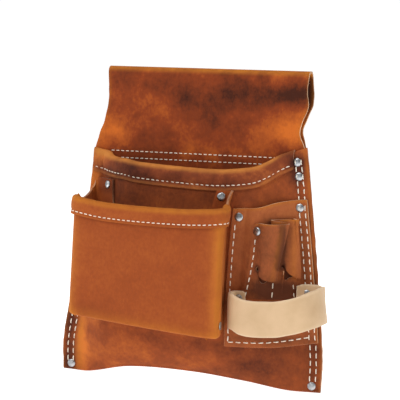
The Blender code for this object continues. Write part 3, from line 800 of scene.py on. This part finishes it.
def make_main_pocket():
    columns = steps(0, 1, cells(292))
    rows = [-k / 10 for k in range(10, 0, -1)] + [s**1.3 for s in steps(0, 1, cells(232))]
    spots = [main_spot(u, v) for u in columns for v in rows]
    # Besides the leather's own colour, these blobs hold painted shade under the hem, in the recess round the
    # top right rivets, under the tool pocket's bottom edge, near the bottom where the front curves under and
    # along the right side, and a painted highlight on the lit fold near the left side.
    tone_and_light = blobs([
        (-30, 215, 80, 16, -0.25), (80, 222, 30, 20, -0.25), (111, 240, 6.5, 15, -1.6),
        (116, 262, 12, 6, 0.6), (-123, 215, 9, 22, 0.7), (95, 30, 50, 22, -0.5), (20, 30, 60, 20, -0.1),
        (-60, 40, 60, 30, 0.05), (-131, 40, 7, 45, 0.9), (60, 52, 60, 8, -0.6), (-148, 40, 9, 60, -1.0),
        (134, 100, 8, 140, -0.5)])

    def wear_and_highlight(x, y, h):
        # Lighter on the low bulge fold near the left seam, from rubbing and from a painted highlight, and
        # along the cut sides from rubbing.
        fold = bump_at(x - left_edge(h) - 21, 6) * ease((90 - h) / 40)
        return 0.55 * fold + 0.35 * bump_at(from_side(x, h), 1.8)

    made = leather("main_pocket_front", spots, grid_faces(len(columns), len(rows)), PANEL,
                   [POCKET_SUEDE, BROWN_EDGE], tone_and_light, wear_and_highlight)
    settle(made, "pocket_suede", "main_pocket")


def hem_section(gap, band, puff, stitch_at):
    """Outer face of a strip folded over a mouth, as (step out of the pocket, step up from its edge)."""
    out = gap + STRIP
    inside = -(PANEL + gap + STRIP)
    middle = (out + inside) / 2
    reach = (out - inside) / 2
    outer = []
    for up in steps(-band, -0.5, cells(band) + 6):
        down = -up
        swell = puff * math.sin(math.pi * clamp(down / stitch_at)) ** 0.7 if down < stitch_at else 0.0
        lip = 0.5 * bump_at(down - band + 0.8, 1.6)
        outer.append((out + swell - 0.3 * bump_at(down - stitch_at, 1.3) + lip, up))
    over = [(middle + reach * math.cos(a), 0.4 + reach * math.sin(a)) for a in steps(0.15, math.pi - 0.1, 11)]
    inner = [(inside, up) for up in (-2.0, -4.5, -7.0, -9.5)]
    return outer + over + inner


def make_main_hem():
    section = hem_section(HEM_GAP, HEM_BAND + 1.5, 1.5, MAIN_STITCH)
    columns = steps(HEM_LEFT, HEM_RIGHT, cells(HEM_RIGHT - HEM_LEFT))
    spots = []
    for x in columns:
        edge = mouth_edge(x)
        flat = ease((x - 88) / 16)
        for out, up in section:
            out -= 0.7 * flat * ease(out / 2)
            up -= 0.45 * flat * max(up, 0)
            up += 3.5 * ease((-97 - x) / 6) * ease((up + 3) / 3)
            h = edge + up
            normal = surface_normal(front_y, x, min(h, edge))
            normal.z = 0
            wall = Vector((x, front_y(x, min(h, edge)), h))
            spot = wall + normal.normalized() * out
            rough = fuzz((x, h, spot.y), 0.45, 5.0) + fuzz((x, h, spot.y), 0.7, 17.0)
            rough *= ease((from_side(x, h) - 1) / 9)
            spots.append(spot + normal.normalized() * rough + Vector((0, 0, 0.4 * rough)))

    def wear_and_highlight(x, y, h):
        # Lighter along the top of the roll, less towards the right end, from rubbing of the nap and from a
        # painted highlight; lighter at the lower edge from rubbing.
        top = ease((h - mouth_edge(x) + 2) / 5) * (1 - 0.8 * ease((x - 84) / 14))
        return 0.95 * top + 0.3 * bump_at(h - mouth_edge(x) + HEM_BAND, 1.5)

    # Painted shade in the recess by the top right rivets and a painted highlight on the rolled left end,
    # besides a darker band along the middle.
    tone_and_light = blobs([(-20, 228, 90, 7, -0.3), (-110, 246, 16, 12, 0.6), (60, 236, 30, 7, 0.2),
                  (111, 247, 6, 9, -1.6)])
    made = leather("main_mouth_hem", spots, grid_faces(len(columns), len(section)), STRIP,
                   [HEM_SUEDE, BROWN_EDGE], tone_and_light, wear_and_highlight)
    settle(made, "panel_suede", "main_hem")


# ---- nail pocket

# x of the side walls' feet and of the front face's corners at a height, then h of the bottom fold, of the
# front face's mouth and of the left flange's top at an x
nail_left = curve((70, -112), (170, -112), (198, -119), (222, -121))
nail_right = curve((70, 40.5), (185, 43.0), (200, 44.0), (218, 48.5))
nail_front_left = curve((70, -124), (205, -118))
nail_front_right = curve((66, 47.5), (150, 49), (205, 53))
nail_bottom = curve((-124, 80), (-60, 74), (20, 67), (50, 65))
nail_front_top = curve((-118, 204), (-80, 198.5), (0, 196), (40, 197.5), (53, 199))
nail_flange_top = curve((-114, 206), (-111.5, 214), (-109, 221), (-84, 222))


def nail_path(h):
    """Outer face of the nail pocket at one height, from its left flange round the front to its right one."""
    def seat(x):
        return front_y(x, h) - NAIL_GAP

    left, right = nail_left(h), nail_right(h)
    front_left, front_right = nail_front_left(h), nail_front_right(h)
    left_flange = [(left + step, seat(left + step)) for step in (29, 22, 15, 7, 1.5)]
    left_wall = [(left - 1, seat(left) - 4), (left - 2.5, seat(left) - 11)]
    front = [(front_left + 2, 19), (front_left, 10), (front_left + 3.8, 3.4), (front_left + 11, 0.8),
             (-80, -1.5), (-50, -2.5), (-20, -2.5), (15, -2), (34, -0.9), (front_right - 9, 0.6),
             (front_right - 2.5, 2.9), (front_right, 8.5), (front_right - 0.6, 16)]
    right_wall = [(right + 1.3, seat(right) - 11), (right + 0.5, seat(right) - 4)]
    right_flange = [(right - step, seat(right - step)) for step in (1.5, 9, 18)]
    return (left_flange + left_wall + [(x, NAIL_FRONT_Y + depth) for x, depth in front]
            + right_wall + right_flange)


# Places on nail_path(), counted from its left flange
NAIL_LEFT_CORNER = 4
NAIL_HEM_FIRST = 7.5
NAIL_FRONT_LEFT = 9
NAIL_FRONT_RIGHT = 18
NAIL_HEM_LAST = 18.9
NAIL_RIGHT_CORNER = 22
NAIL_END = 24


def nail_wall(t, h):
    x, y = through(nail_path(h), t)
    return Vector((x, y, h))


def nail_normal(t, h):
    """Level normal out of the nail pocket's wall."""
    ahead = nail_wall(min(t + 0.15, NAIL_END), h) - nail_wall(max(t - 0.15, 0), h)
    return Vector((ahead.y, -ahead.x, 0)).normalized()


def nail_top(x, y):
    """The mouth drops from the left flange to its level wall, and slopes from the right flange."""
    reach = clamp((y + 38) / (NAIL_FRONT_Y + 48))
    front = nail_front_top(x)
    if x > 0:
        return NAIL_FLANGE_TOP + (front - NAIL_FLANGE_TOP) * reach
    flange = nail_flange_top(x)
    return flange + (front - flange) * max(reach, ease((-22 - y) / 14) * ease((-114 - x) / 3))


def nail_columns():
    """Places along nail_path(), closer together round its corners."""
    stretches = ((0, NAIL_LEFT_CORNER, 9), (NAIL_LEFT_CORNER, NAIL_FRONT_LEFT, 26),
                 (NAIL_FRONT_LEFT, NAIL_FRONT_RIGHT, 90), (NAIL_FRONT_RIGHT, NAIL_RIGHT_CORNER, 26),
                 (NAIL_RIGHT_CORNER, NAIL_END, 7))
    return [t for stretch in stretches for t in steps(*stretch)[:-1]] + [NAIL_END]


def slacken(spot, share):
    """Moves a spot of the wide front face by the face's slack."""
    if spot.y < NAIL_FRONT_Y + NAIL_FACE:
        from_corner = clamp(min(spot.x + 120, 50 - spot.x) / 25)
        spot.y += share * 1.2 * wave(spot.x * 0.8 + 300, spot.z) * from_corner


def nail_spot(t, v):
    """v from 0 at the bottom fold to 1 at the mouth; below 0 the leather folds under."""
    base = nail_wall(t, NAIL_MIDDLE_H)
    start = nail_bottom(base.x) + NAIL_FOLD_R
    if v < 0:
        a = -v * math.pi / 2
        spot = nail_wall(t, start) - nail_normal(t, start) * (NAIL_FOLD_R * (1 - math.cos(a)))
        spot.z = start - NAIL_FOLD_R * math.sin(a)
        return spot
    h = start + (nail_top(base.x, base.y) - start) * v
    spot = nail_wall(t, h)
    slacken(spot, clamp((h - start) / 20))
    return spot


def nail_floor(ring):
    """Points of the floor between the folded-under edges: (left side, front, right side) of the ring."""
    left, front, right = ring
    count = len(front)
    depth = len(left)
    right = right[::-1]
    spots = []
    for i in range(count):
        u = i / (count - 1)
        rear = left[0].lerp(right[0], u)
        rear.y = front_y(rear.x, rear.z) - NAIL_GAP
        for j in range(depth):
            w = j / (depth - 1)
            sides = left[j].lerp(right[j], u)
            ends = rear.lerp(front[i], w)
            corners = left[0].lerp(right[0], u).lerp(left[-1].lerp(right[-1], u), w)
            spots.append(sides + ends - corners)
    return spots, count, depth


def make_nail_pocket():
    columns = nail_columns()
    folded = [-1, -0.85, -0.7, -0.55, -0.4, -0.25, -0.1]
    rows = folded + steps(0, 1, cells(130))
    spots = [nail_spot(t, v) for t in columns for v in rows]
    places = (NAIL_LEFT_CORNER, NAIL_FRONT_LEFT, NAIL_FRONT_RIGHT, NAIL_RIGHT_CORNER)
    corners = [columns.index(place) for place in places]
    ring = [[spots[k * len(rows)] for k in range(a, b + 1)] for a, b in zip(corners, corners[1:])]

    def keep(i, j):
        """The flanges have no fold under them."""
        return j >= len(folded) or corners[0] <= i < corners[-1]

    floor, count, depth = nail_floor(ring)
    faces = grid_faces(len(columns), len(rows), keep)
    faces += [tuple(len(spots) + k for k in face) for face in grid_faces(count, depth)]

    def wear_and_highlight(x, y, h):
        # Lighter at the front corners, along the bottom fold and on the right side wall.
        low = bump_at(h - nail_bottom(x) - 1, 7) * (y < NAIL_FRONT_Y + 8)
        return (0.75 * bump_at(math.hypot(x + 121, y + 69), 8) + 0.5 * bump_at(math.hypot(x - 48, y + 72), 7)
                + 0.4 * low + 0.3 * ease((x - 43) / 5))

    # Painted highlights on the lit left corner and right side strip, and a painted shadow line under the hem.
    face_tone_and_light = blobs([(-118, 140, 10, 90, 0.45), (-95, 88, 25, 10, -0.3), (48, 120, 9, 90, 0.8),
                       (-40, 150, 60, 50, 0.06), (-40, 185, 80, 3, -0.35)])

    def tone_and_light(x, y, h):
        # The left flange: a painted highlight at its lit left edge and painted shade beyond it.
        flange = ease((y + 46) / 6) * ease((h - 204) / 6) * (x < 0)
        return face_tone_and_light(x, y, h) + flange * (0.6 - 1.4 * ease((x + 119) / 9))

    made = leather("nail_pocket_box", spots + floor, faces, PANEL,
                   [NAIL_SUEDE, BROWN_EDGE], tone_and_light, wear_and_highlight)
    settle(made, "panel_suede", "nail_pocket")


def nail_hem_spot(t, out, up):
    base = nail_wall(t, NAIL_MOUTH_H)
    edge = nail_top(base.x, base.y)
    wall = nail_wall(t, edge + min(up, 0))
    slacken(wall, 1.0)
    spot = wall + nail_normal(t, NAIL_MOUTH_H) * out
    spot.z = edge + up
    return spot


def make_nail_hem():
    section = hem_section(CORNER_GAP, NAIL_BAND, 0.5, NAIL_STITCH)
    columns = steps(NAIL_HEM_FIRST, NAIL_HEM_LAST, 130)
    spots = []
    for t in columns:
        for out, up in section:
            spot = nail_hem_spot(t, out, up)
            rough = fuzz(spot, 0.22, 6.0)
            spots.append(spot + nail_normal(t, NAIL_MOUTH_H) * rough + Vector((0, 0, 0.3 * rough)))

    def wear_and_highlight(x, y, h):
        # Lighter along the top of the hem and at its corners, from rubbing and from a painted highlight, and
        # at the lower edge.
        down = nail_top(x, y) - h
        corners = bump_at(math.hypot(x + 121, y + 69), 9)
        corners += 0.6 * bump_at(math.hypot(x - 52, y + 72), 8)
        return 0.75 * ease((3 - down) / 5) + 0.45 * corners + 0.2 * bump_at(down - NAIL_BAND, 1.5)

    # The lightness blobs paint a highlight on the lit left corner.
    made = leather("nail_mouth_hem", spots, grid_faces(len(columns), len(section)), STRIP,
                   [NAIL_SUEDE, BROWN_EDGE], blobs([(-118, 195, 20, 20, 0.4), (-20, 190, 80, 6, 0.15)]), wear_and_highlight)
    settle(made, "panel_suede", "nail_hem")


# ---- tool pocket and sleeves

def make_tool_pocket():
    columns = steps(0, 1, cells(88))
    rows = steps(0, 1, cells(152))
    spots = []
    for u in columns:
        for v in rows:
            guess = 44 + 85 * u
            h = tool_bottom(guess) + (tool_top(guess) - tool_bottom(guess)) * v
            x = tool_left(h) + (tool_right(h) - tool_left(h)) * u
            y = tool_y(x, h) + dimpled(x, h, TOOL_RIVETS)
            y += pressed(right_edge(h) - step - x for step in SEAM_STEPS)
            y += pressed((x - tool_left(h) - TOOL_ROW_IN, h - tool_bottom(x) - TOOL_ROW_UP), 0.3)
            spots.append(Vector((x, y, h)))

    def wear_and_highlight(x, y, h):
        return 0.7 * bump_at(tool_top(x) - h, 2.2) + 0.3 * bump_at(tool_right(h) - x, 2)

    # Painted shade where the sleeves' holes and slits and the strip's top edge show the pocket's face inside
    # the tubes, and darker along the right side and the bottom; lighter near the top.
    tone_and_light = blobs([
        (62, 190, 20, 12, 0.3), (105, 195, 14, 10, 0.25), (95, 60, 45, 8, -0.35), (126, 130, 6, 80, -0.35),
        (75, 118, 20, 16, -0.25), (78, 137, 5, 5, -1.6), (87, 125, 9, 5, -1.6), (101, 139, 5, 5, -1.6),
        (108, 129, 8, 5, -1.6), (95, 185, 12, 6, -1.2), (84, 60, 50, 4, -0.4)])
    made = leather("tool_pocket_front", spots, grid_faces(len(columns), len(rows)), STRIP,
                   [TOOL_SUEDE, PALE_EDGE], tone_and_light, wear_and_highlight)
    settle(made, "pocket_suede", "tool_pocket")


# x at a height of the fold where each tube is pressed over
first_fold = curve((118, 94.8), (135, 95.8), (147, 97.4), (166, 100.2), (185, 102.6))
second_fold = curve((118, 115.5), (134, 115.2), (178, 113.6), (190, 113.2))


def first_tube(h):
    """The wide tube, pressed over to the right beyond its seam, as (x, height over the pocket)."""
    low, high = sleeve_left_row(h), sleeve_middle_row(h)
    low += 1.6 * bump_at(h - SLEEVE_RIVET[1], 9)
    fold = first_fold(h)
    lean = fold - high
    return [(low, 0.0), (low + 1.2, 1.8), (low + 3.0, 4.2), (low + 5.5, 6.6),
            (low + 0.35 * (fold - low), 8.2), (low + 0.62 * (fold - low), 9.0),
            (fold - 2.2, 8.7), (fold, 7.6), (fold - 0.6, 5.9),
            (fold - 0.35 * lean - 0.8, 4.0), (high + 0.8, 1.7), (high, 0.0)]


def second_tube(h):
    """The narrow tube: it rises slowly from under the first one's fold."""
    low, high = sleeve_middle_row(h), sleeve_right_row(h)
    fold = second_fold(h)
    return [(low, 0.0), (low + 1.5, 0.4), (low + 4.5, 0.9), (low + 8.5, 1.8), (fold - 9.5, 3.6),
            (fold - 6.8, 6.2), (fold - 4.0, 7.3), (fold - 1.4, 7.0), (fold, 5.6), (fold - 0.6, 3.6),
            (high + 0.9, 1.6), (high, 0.0)]


def with_margins(h, tubes):
    """A profile with the strip's margins outside its left and right rows."""
    left, right = sleeve_left_row(h), sleeve_right_row(h)
    return [(left - 5.2, 0.0), (left - 2.7, 0.0)] + tubes + [(right + 1.4, 0.0), (right + 2.6, 0.0)]


def sleeve_profile(h):
    """The strip's outer face across both tubes at one height, as (x, height over the pocket)."""
    return with_margins(h, first_tube(h) + second_tube(h)[1:])


def flat_profile(h):
    """The same points pressed flat on the pocket."""
    left, middle, right = sleeve_left_row(h), sleeve_middle_row(h), sleeve_right_row(h)
    places = steps(left, middle, TUBE_STEPS + 1) + steps(middle, right, TUBE_STEPS + 1)[1:]
    return with_margins(h, [(x, 0.0) for x in places])


# start is the tube's first place on the profile. The rest is counted from it: the middle of the hole
# punched at the slit's end, half the hole's width, and the slit's height.
Tube = namedtuple("Tube", "start hole half slit")
FIRST_SLIT = curve((2.82, 137.5), (4.1, 129), (5, 125.3), (6, 124), (7.5, 124), (11, 127.5))
SECOND_SLIT = curve((3.26, 139.9), (4.5, 131.5), (5.5, 129), (6.5, 127.5), (8, 127.5), (11, 128.5))
TUBES = (Tube(2, 2.82, 0.86, FIRST_SLIT), Tube(13, 3.26, 0.64, SECOND_SLIT))

# The strip's top edge along its profile steps up behind the first tube
sleeve_top = curve((0, 181), (0.6, 183.4), (2, 184.8), (9, 185), (12, 188.4), (13, 188.9), (16, 189.4),
                   (26, 189.7))


def sleeve_spot(t, h, share):
    """Outer face of the strip at place t of its profile; share is 1 where it stands up as a tube."""
    x, over = through(sleeve_profile(h), t)
    flat_x, _ = through(flat_profile(h), t)
    x = flat_x + (x - flat_x) * share
    over = max(0.0, over) * share
    normal = surface_normal(tool_y, x, h)
    normal.z = 0
    return Vector((x, tool_y(x, h), h)) + normal.normalized() * (over + SLEEVE_GAP + STRIP)


def sleeve_column(t, low_rows, high_rows):
    """Spots up the strip at place t: the sewn part under the slit, then the tube above it."""
    tube = TUBES[0] if t < TUBES[1].start else TUBES[1]
    k = t - tube.start
    slit = tube.slit(k)
    past = k - tube.hole
    punched = SLIT_HOLE_R * math.sqrt(max(0.0, 1 - (past / tube.half) ** 2))
    gape = SLIT_GAPE * ease((past - 0.5) / 1.5) * (1 - ease((k - 6) / 3))
    high_lip = HOLE_SHARE + (1 - HOLE_SHARE) * ease(past / 2)
    low_lip = HOLE_SHARE * (1 - ease(past / 1.8))
    low_end = slit - punched - gape
    high_start = slit + punched
    spots = []
    for v in low_rows:
        h = SLEEVE_LOW + (low_end - SLEEVE_LOW) * v
        spots.append(sleeve_spot(t, h, low_lip * ease(v)))
    for v in high_rows:
        h = high_start + (sleeve_top(t) - high_start) * v
        spots.append(sleeve_spot(t, h, high_lip + (1 - high_lip) * ease((h - slit) / TUBE_RISE)))
    return spots


def slit_open(t):
    """Whether the strip is cut through at place t of its profile."""
    return any(tube.start + tube.hole - tube.half < t < tube.start + TUBE_STEPS for tube in TUBES)


def make_sleeves():
    """One strip: sewn flat below the crescent slits, pleated into two tubes above them."""
    last = len(sleeve_profile(150)) - 1
    columns = steps(0, last, last * 8 + 1)
    low_rows = steps(0, 1, 11)
    high_rows = steps(0, 1, 32)
    spots = [spot for t in columns for spot in sleeve_column(t, low_rows, high_rows)]
    rows = len(low_rows) + len(high_rows)
    seam = len(low_rows) - 1

    def keep(i, j):
        return j != seam or not slit_open((columns[i] + columns[i + 1]) / 2)

    def wear_and_highlight(x, y, h):
        # Lighter along the top edge and on the fold crests of both tubes, from rubbing and from a painted
        # highlight.
        top = 185 + 4.5 * ease((x - 97) / 4)
        fold = bump_at(x - 98.5 - (h - 150) * 0.13, 2.5)
        return 0.6 * bump_at(top - h, 1.8) + (0.3 * bump_at(x - 114, 4) + 0.25 * fold) * ease((h - 122) / 4)

    # Painted shadow in the valley beside the first tube's fold, painted shade in the punched holes, and
    # darker patches on the first tube and on the flat part below the slits.
    tone_and_light = blobs([
        (84, 160, 12, 34, -0.55), (103.5, 178, 3, 9, -1.3), (102.5, 163, 3.5, 10, -1.3),
        (101, 148, 4, 9, -1.2), (111, 160, 5, 40, -0.15), (80, 112, 30, 12, -0.9), (104, 112, 20, 12, -0.9),
        (78.5, 137.5, 3.2, 3.2, -2), (101.7, 140, 3.5, 3.5, -2)])
    made = leather("tool_sleeve_strip", spots, grid_faces(len(columns), rows, keep), STRIP,
                   [TOOL_SUEDE, PALE_EDGE], tone_and_light, wear_and_highlight, rim=0.4)
    settle(made, "pocket_suede", "tool_sleeves")


# ---- hammer loop

# Middle of the strap: it climbs to the right and its front hangs a little
strap_height = curve((51, TAB_LEFT_H), (66, 89), (80, 87.5), (115, 90.5), (149, TAB_RIGHT_H))


def tab_seat(x, middle):
    """A tab's outer face lies on the tool pocket's highest line."""
    half = STRAP_WIDTH / 2
    return min(tool_y(x + side, middle + up)
               for side in (-3, 0, 3) for up in steps(-half, half, 9)) - 0.5


def strap_path():
    """Outer face of the whole strap, from its left tab to its right tab, as (x, y, middle height)."""
    seat = tab_seat(54, TAB_LEFT_H)
    left = [(65, tab_seat(65, TAB_LEFT_H)), (60, tab_seat(60, TAB_LEFT_H)), (54.6, seat), (51.4, seat - 1.5),
            (50.0, seat - 4.6), (49.8, -41.5), (49.9, -46.2), (51.4, -51.8), (56.5, -56.4)]
    loop = [(66, -59.5), (80, -61.5), (95, STRAP_FRONT_Y), (110, -61.5), (125, -58.5), (137, -52.5),
            (144.6, -44.0), (148.6, -33.5), (149.7, -23.5), (148.4, -15.5), (144.8, -10.8)]
    right = [(x, tab_seat(min(x, 136), TAB_RIGHT_H)) for x in (138.5, 132, 124, 115.5)]
    return ([(x, y, TAB_LEFT_H) for x, y in left] + [(x, y, strap_height(x)) for x, y in loop]
            + [(x, y, TAB_RIGHT_H) for x, y in right])


def strap_normal(path, t):
    ahead = through(path, min(t + 0.1, len(path) - 1)) - through(path, max(t - 0.1, 0))
    return Vector((ahead.y, -ahead.x, 0)).normalized()


def make_strap():
    path = strap_path()
    columns = steps(0, len(path) - 1, 190)
    rows = steps(-1, 1, 19)
    spots = []
    for t in columns:
        middle = through(path, t)
        normal = strap_normal(path, t)
        for v in rows:
            up = v * STRAP_WIDTH / 2
            from_end = min(t, len(path) - 1 - t)
            round_end = 1.6 * (1 - math.sqrt(max(0.0, 1 - v**2))) * bump_at(from_end, 0.35)
            sway = 0.5 * noise.noise(Vector((middle.x / 30, middle.y / 30, v))) * ease((t - 7) / 2)
            uneven = 0.35 * noise.noise(Vector((t, v, 5)))
            spot = middle + normal * (sway - 0.5 * v * v) + Vector((0, 0, up + uneven))
            flare = -3.0 * v * ease((middle.x - 118) / 28) * ease((-12 - middle.y) / 8)
            spots.append(spot + Vector((flare, 0, -v * round_end)))

    def wear_and_highlight(x, y, h):
        tab = TAB_LEFT_H if x < 90 else TAB_RIGHT_H
        up = abs(h - (strap_height(x) if y < -35 else tab))
        return bump_at(STRAP_WIDTH / 2 - up, 1.4)

    made = leather("hammer_strap", spots, grid_faces(len(columns), len(rows)), STRAP,
                   [STRAP_HIDE, HIDE_EDGE], wear_and_highlight=wear_and_highlight, rim=0.8)
    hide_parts("hammer_tab_left", "hammer_tab_right", "hammer_loop")
    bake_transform(made)


# ---- rows and rivets in place

def flap_face(x, h):
    return -PANEL


def main_hem_face(x, h):
    return front_y(x, h) - (HEM_GAP + STRIP - SINK) / abs(surface_normal(front_y, x, h).y)


def sleeve_flat_face(x, h):
    return tool_y(x, h) - SLEEVE_GAP - STRIP


def nail_seat(x, h):
    """Front face of the nail pocket's turned-in flanges."""
    return front_y(x, h) - NAIL_GAP - PANEL / abs(surface_normal(front_y, x, h).y) - GAP


def hem_stitch_line():
    spots = [(x, mouth_edge(x) - MAIN_STITCH) for x in steps(HEM_LEFT + 2, 104, 90)]
    return line_on(main_hem_face, spots)


def nail_stitch_line():
    places = steps(NAIL_HEM_FIRST + 0.3, NAIL_HEM_LAST - 0.3, 120)
    spots = [nail_hem_spot(t, CORNER_GAP + STRIP - SINK, -NAIL_STITCH) for t in places]
    return spots, [nail_normal(t, NAIL_MOUTH_H) for t in places]


def side_row(step, low, high, count):
    """(x, h) along the right side, a step in from it."""
    return [(right_edge(h) - step, h) for h in steps(low, high, count)]


def make_rows():
    for place, h in TUNNEL_ROWS.items():
        spots = [(x, h) for x in steps(-103, 100, 9)]
        lines = [line_on(flap_face, spots, -LIGHT_SINK), rear_line(GAP + PANEL - LIGHT_SINK, spots)]
        thread_piece(f"thread_tunnel_{place}", lines, FINE_THREAD)
    thread_piece("thread_main_hem", [hem_stitch_line()], FINE_THREAD)
    thread_piece("thread_nail_hem", [nail_stitch_line()], FINE_THREAD)
    for place, step in zip(("inner", "outer"), SEAM_STEPS):
        left = [(left_edge(h) + step, h) for h in steps(14, 205, 40)]
        thread_piece(f"thread_seam_left_{place}", [line_on(front_y, left, -SINK), rear_line(-0.1, left)])
        ends = [line_on(front_y, side_row(step, *span), -SINK) for span in ((15, 57, 12), (208, 254, 12))]
        thread_piece(f"thread_seam_right_{place}", ends + [rear_line(-0.1, side_row(step, 15, 254, 40))])
        thread_piece(f"thread_tool_right_{place}", [line_on(tool_y, side_row(step, 60, 206, 40), -SINK)])
    left = [(tool_left(h) + TOOL_ROW_IN, h) for h in steps(56, 184, 30)]
    thread_piece("thread_tool_left", [line_on(tool_y, left, -LIGHT_SINK)])
    bottom = [(x, tool_bottom(x) + TOOL_ROW_UP) for x in steps(46, 131, 30)]
    thread_piece("thread_tool_bottom", [line_on(tool_y, bottom, -LIGHT_SINK)])
    sleeve_rows = (("left", sleeve_left_row, -1.2, 170), ("middle", sleeve_middle_row, 0.0, 125),
                   ("right", sleeve_right_row, 0.0, 123))
    for place, row, side, high in sleeve_rows:
        spots = [(row(h) + side, h) for h in steps(105.5, high, 16)]
        thread_piece(f"thread_sleeve_{place}", [line_on(sleeve_flat_face, spots, -0.1)])


def wall_rivet(name, t, h):
    """A rivet in the nail pocket's side wall."""
    normal = nail_normal(t, h)
    rivet(name, nail_wall(t, h), normal, PANEL)


def tab_rivet(name, x, h, middle, under):
    """A rivet through a tab of the hammer loop down to what lies under it."""
    outer = tab_seat(x, middle) - STRAP - 0.1
    rivet(name, Vector((x, outer, h)), Vector((0, OUT, 0)), under - outer)


def make_rivets():
    seam = 2 * PANEL + GAP
    for name, spot in MAIN_RIVETS.items():
        grip = seam + GAP + PANEL if name == "seam_rivet_right_top" else seam
        rivet_on(name, front_y, *spot, grip)
    for name, under in (("tool_pocket_rivet_right", seam), ("tool_pocket_rivet_left", PANEL)):
        rivet_on(name, tool_y, *TOOL_RIVETS[name], under + TOOL_GAP + STRIP)
    for side, x, h in (("left", -100.5, 216.0), ("right", 36.0, 211.0)):
        rivet_on(f"nail_rivet_{side}_top", nail_seat, x, h, NAIL_GAP + 2 * PANEL, sink=0.1)
    wall_rivet("nail_rivet_right_low", 18.6, 78.5)
    wall_rivet("nail_rivet_left_low", 6.5, 92.0)
    x, h = SLEEVE_RIVET
    lean = (surface_normal(sleeve_flat_face, x, h) + Vector((-0.4, 0, 0))).normalized()
    rivet("sleeve_rivet", Vector((x, sleeve_flat_face(x, h) - 1.2, h)), lean, 2 * STRIP + SLEEVE_GAP)
    tab_rivet("strap_rivet_left", 57.5, 104.0, TAB_LEFT_H, front_y(62, 103) + PANEL + 0.5)
    tab_rivet("strap_rivet_right", 126.0, 110.5, TAB_RIGHT_H, 0.0)


# ---- stage, light and camera

def pale_paper(name, shade, glow):
    """Plain paper that also glows a little, so that it stays pale."""
    made, tree, shader = new_material(name, 0.9, Emission_Color=(1, 1, 1, 1), Emission_Strength=glow)
    shades = [(0.3, (shade,) * 3), (0.7, (shade + 0.03,) * 3)]
    connect(tree, shader, Base_Color=ramp(tree, cloud(tree, object_place(tree), 2.0), shades))
    return made


def make_floor():
    """A plain round floor, and a plain pale backdrop all round that only the camera sees."""
    low = CAD_BOX[0][2] - 0.0006
    work = bmesh.new()
    bmesh.ops.create_circle(work, cap_ends=True, radius=ROOM_R, segments=96,
                            matrix=Matrix.Translation((0, 0, low)))
    floor = mesh_of(work, "pale_floor", smooth=False)
    add_piece("pale_floor", floor, [pale_paper("floor_paper", 0.90, 0.8)])
    work = bmesh.new()
    bmesh.ops.create_uvsphere(work, u_segments=64, v_segments=32, radius=ROOM_R)
    bmesh.ops.reverse_faces(work, faces=work.faces)
    backdrop = add_piece("pale_backdrop", mesh_of(work, "pale_backdrop"),
                         [pale_paper("backdrop_paper", 0.0, 1.0)])
    for ray in ("diffuse", "glossy", "transmission", "shadow"):
        setattr(backdrop, "visible_" + ray, False)


def area_light(name, place, size, power):
    data = bpy.data.lights.new(name, "AREA")
    data.shape = "RECTANGLE"
    data.size, data.size_y = size
    data.energy = power
    made = bpy.data.objects.new(name, data)
    made.location = place
    made.rotation_euler = (LIGHT_AIM - Vector(place)).to_track_quat("-Z", "Y").to_euler()
    bpy.context.scene.collection.objects.link(made)


def make_light():
    area_light("key", (-0.8, -1.6, 1.0), (0.9, 0.9), 15.2)
    area_light("top", (0.1, -0.2, 1.4), (1.2, 0.6), 9.3)
    area_light("left_side", (-1.5, -0.3, 0.2), (0.6, 1.2), 5)
    area_light("right_side", (1.5, -0.6, 0.3), (0.6, 1.2), 6)
    area_light("rear", (0.4, 1.7, 0.9), (1.4, 0.8), 10)
    world = bpy.data.worlds.new("studio")
    world.use_nodes = True
    background = world.node_tree.nodes["Background"]
    background.inputs["Color"].default_value = (1, 1, 1, 1)
    background.inputs["Strength"].default_value = 0.25
    bpy.context.scene.world = world


def make_camera():
    """Three-quarter view from the pouch's right, a little above it."""
    azimuth, elevation, roll = math.radians(19), math.radians(6), math.radians(1.2)
    back = Vector((math.sin(azimuth) * math.cos(elevation), -math.cos(azimuth) * math.cos(elevation),
                   math.sin(elevation)))
    data = bpy.data.cameras.new("camera")
    data.lens = CAMERA_LENS
    data.sensor_width = 36
    made = bpy.data.objects.new("camera", data)
    made.location = CAMERA_AIM + back * CAMERA_DISTANCE
    turn = back.to_track_quat("Z", "Y").to_matrix() @ Matrix.Rotation(roll, 3, "Z")
    made.rotation_euler = turn.to_euler()
    bpy.context.scene.collection.objects.link(made)
    bpy.context.scene.camera = made


# ---- assembly

def main():
    make_camera()
    make_flap()
    make_main_pocket()
    make_main_hem()
    make_nail_pocket()
    make_nail_hem()
    make_tool_pocket()
    make_sleeves()
    make_strap()
    make_rows()
    make_rivets()
    make_floor()
    make_light()
    bpy.context.scene.view_settings.view_transform = "Standard"


main()
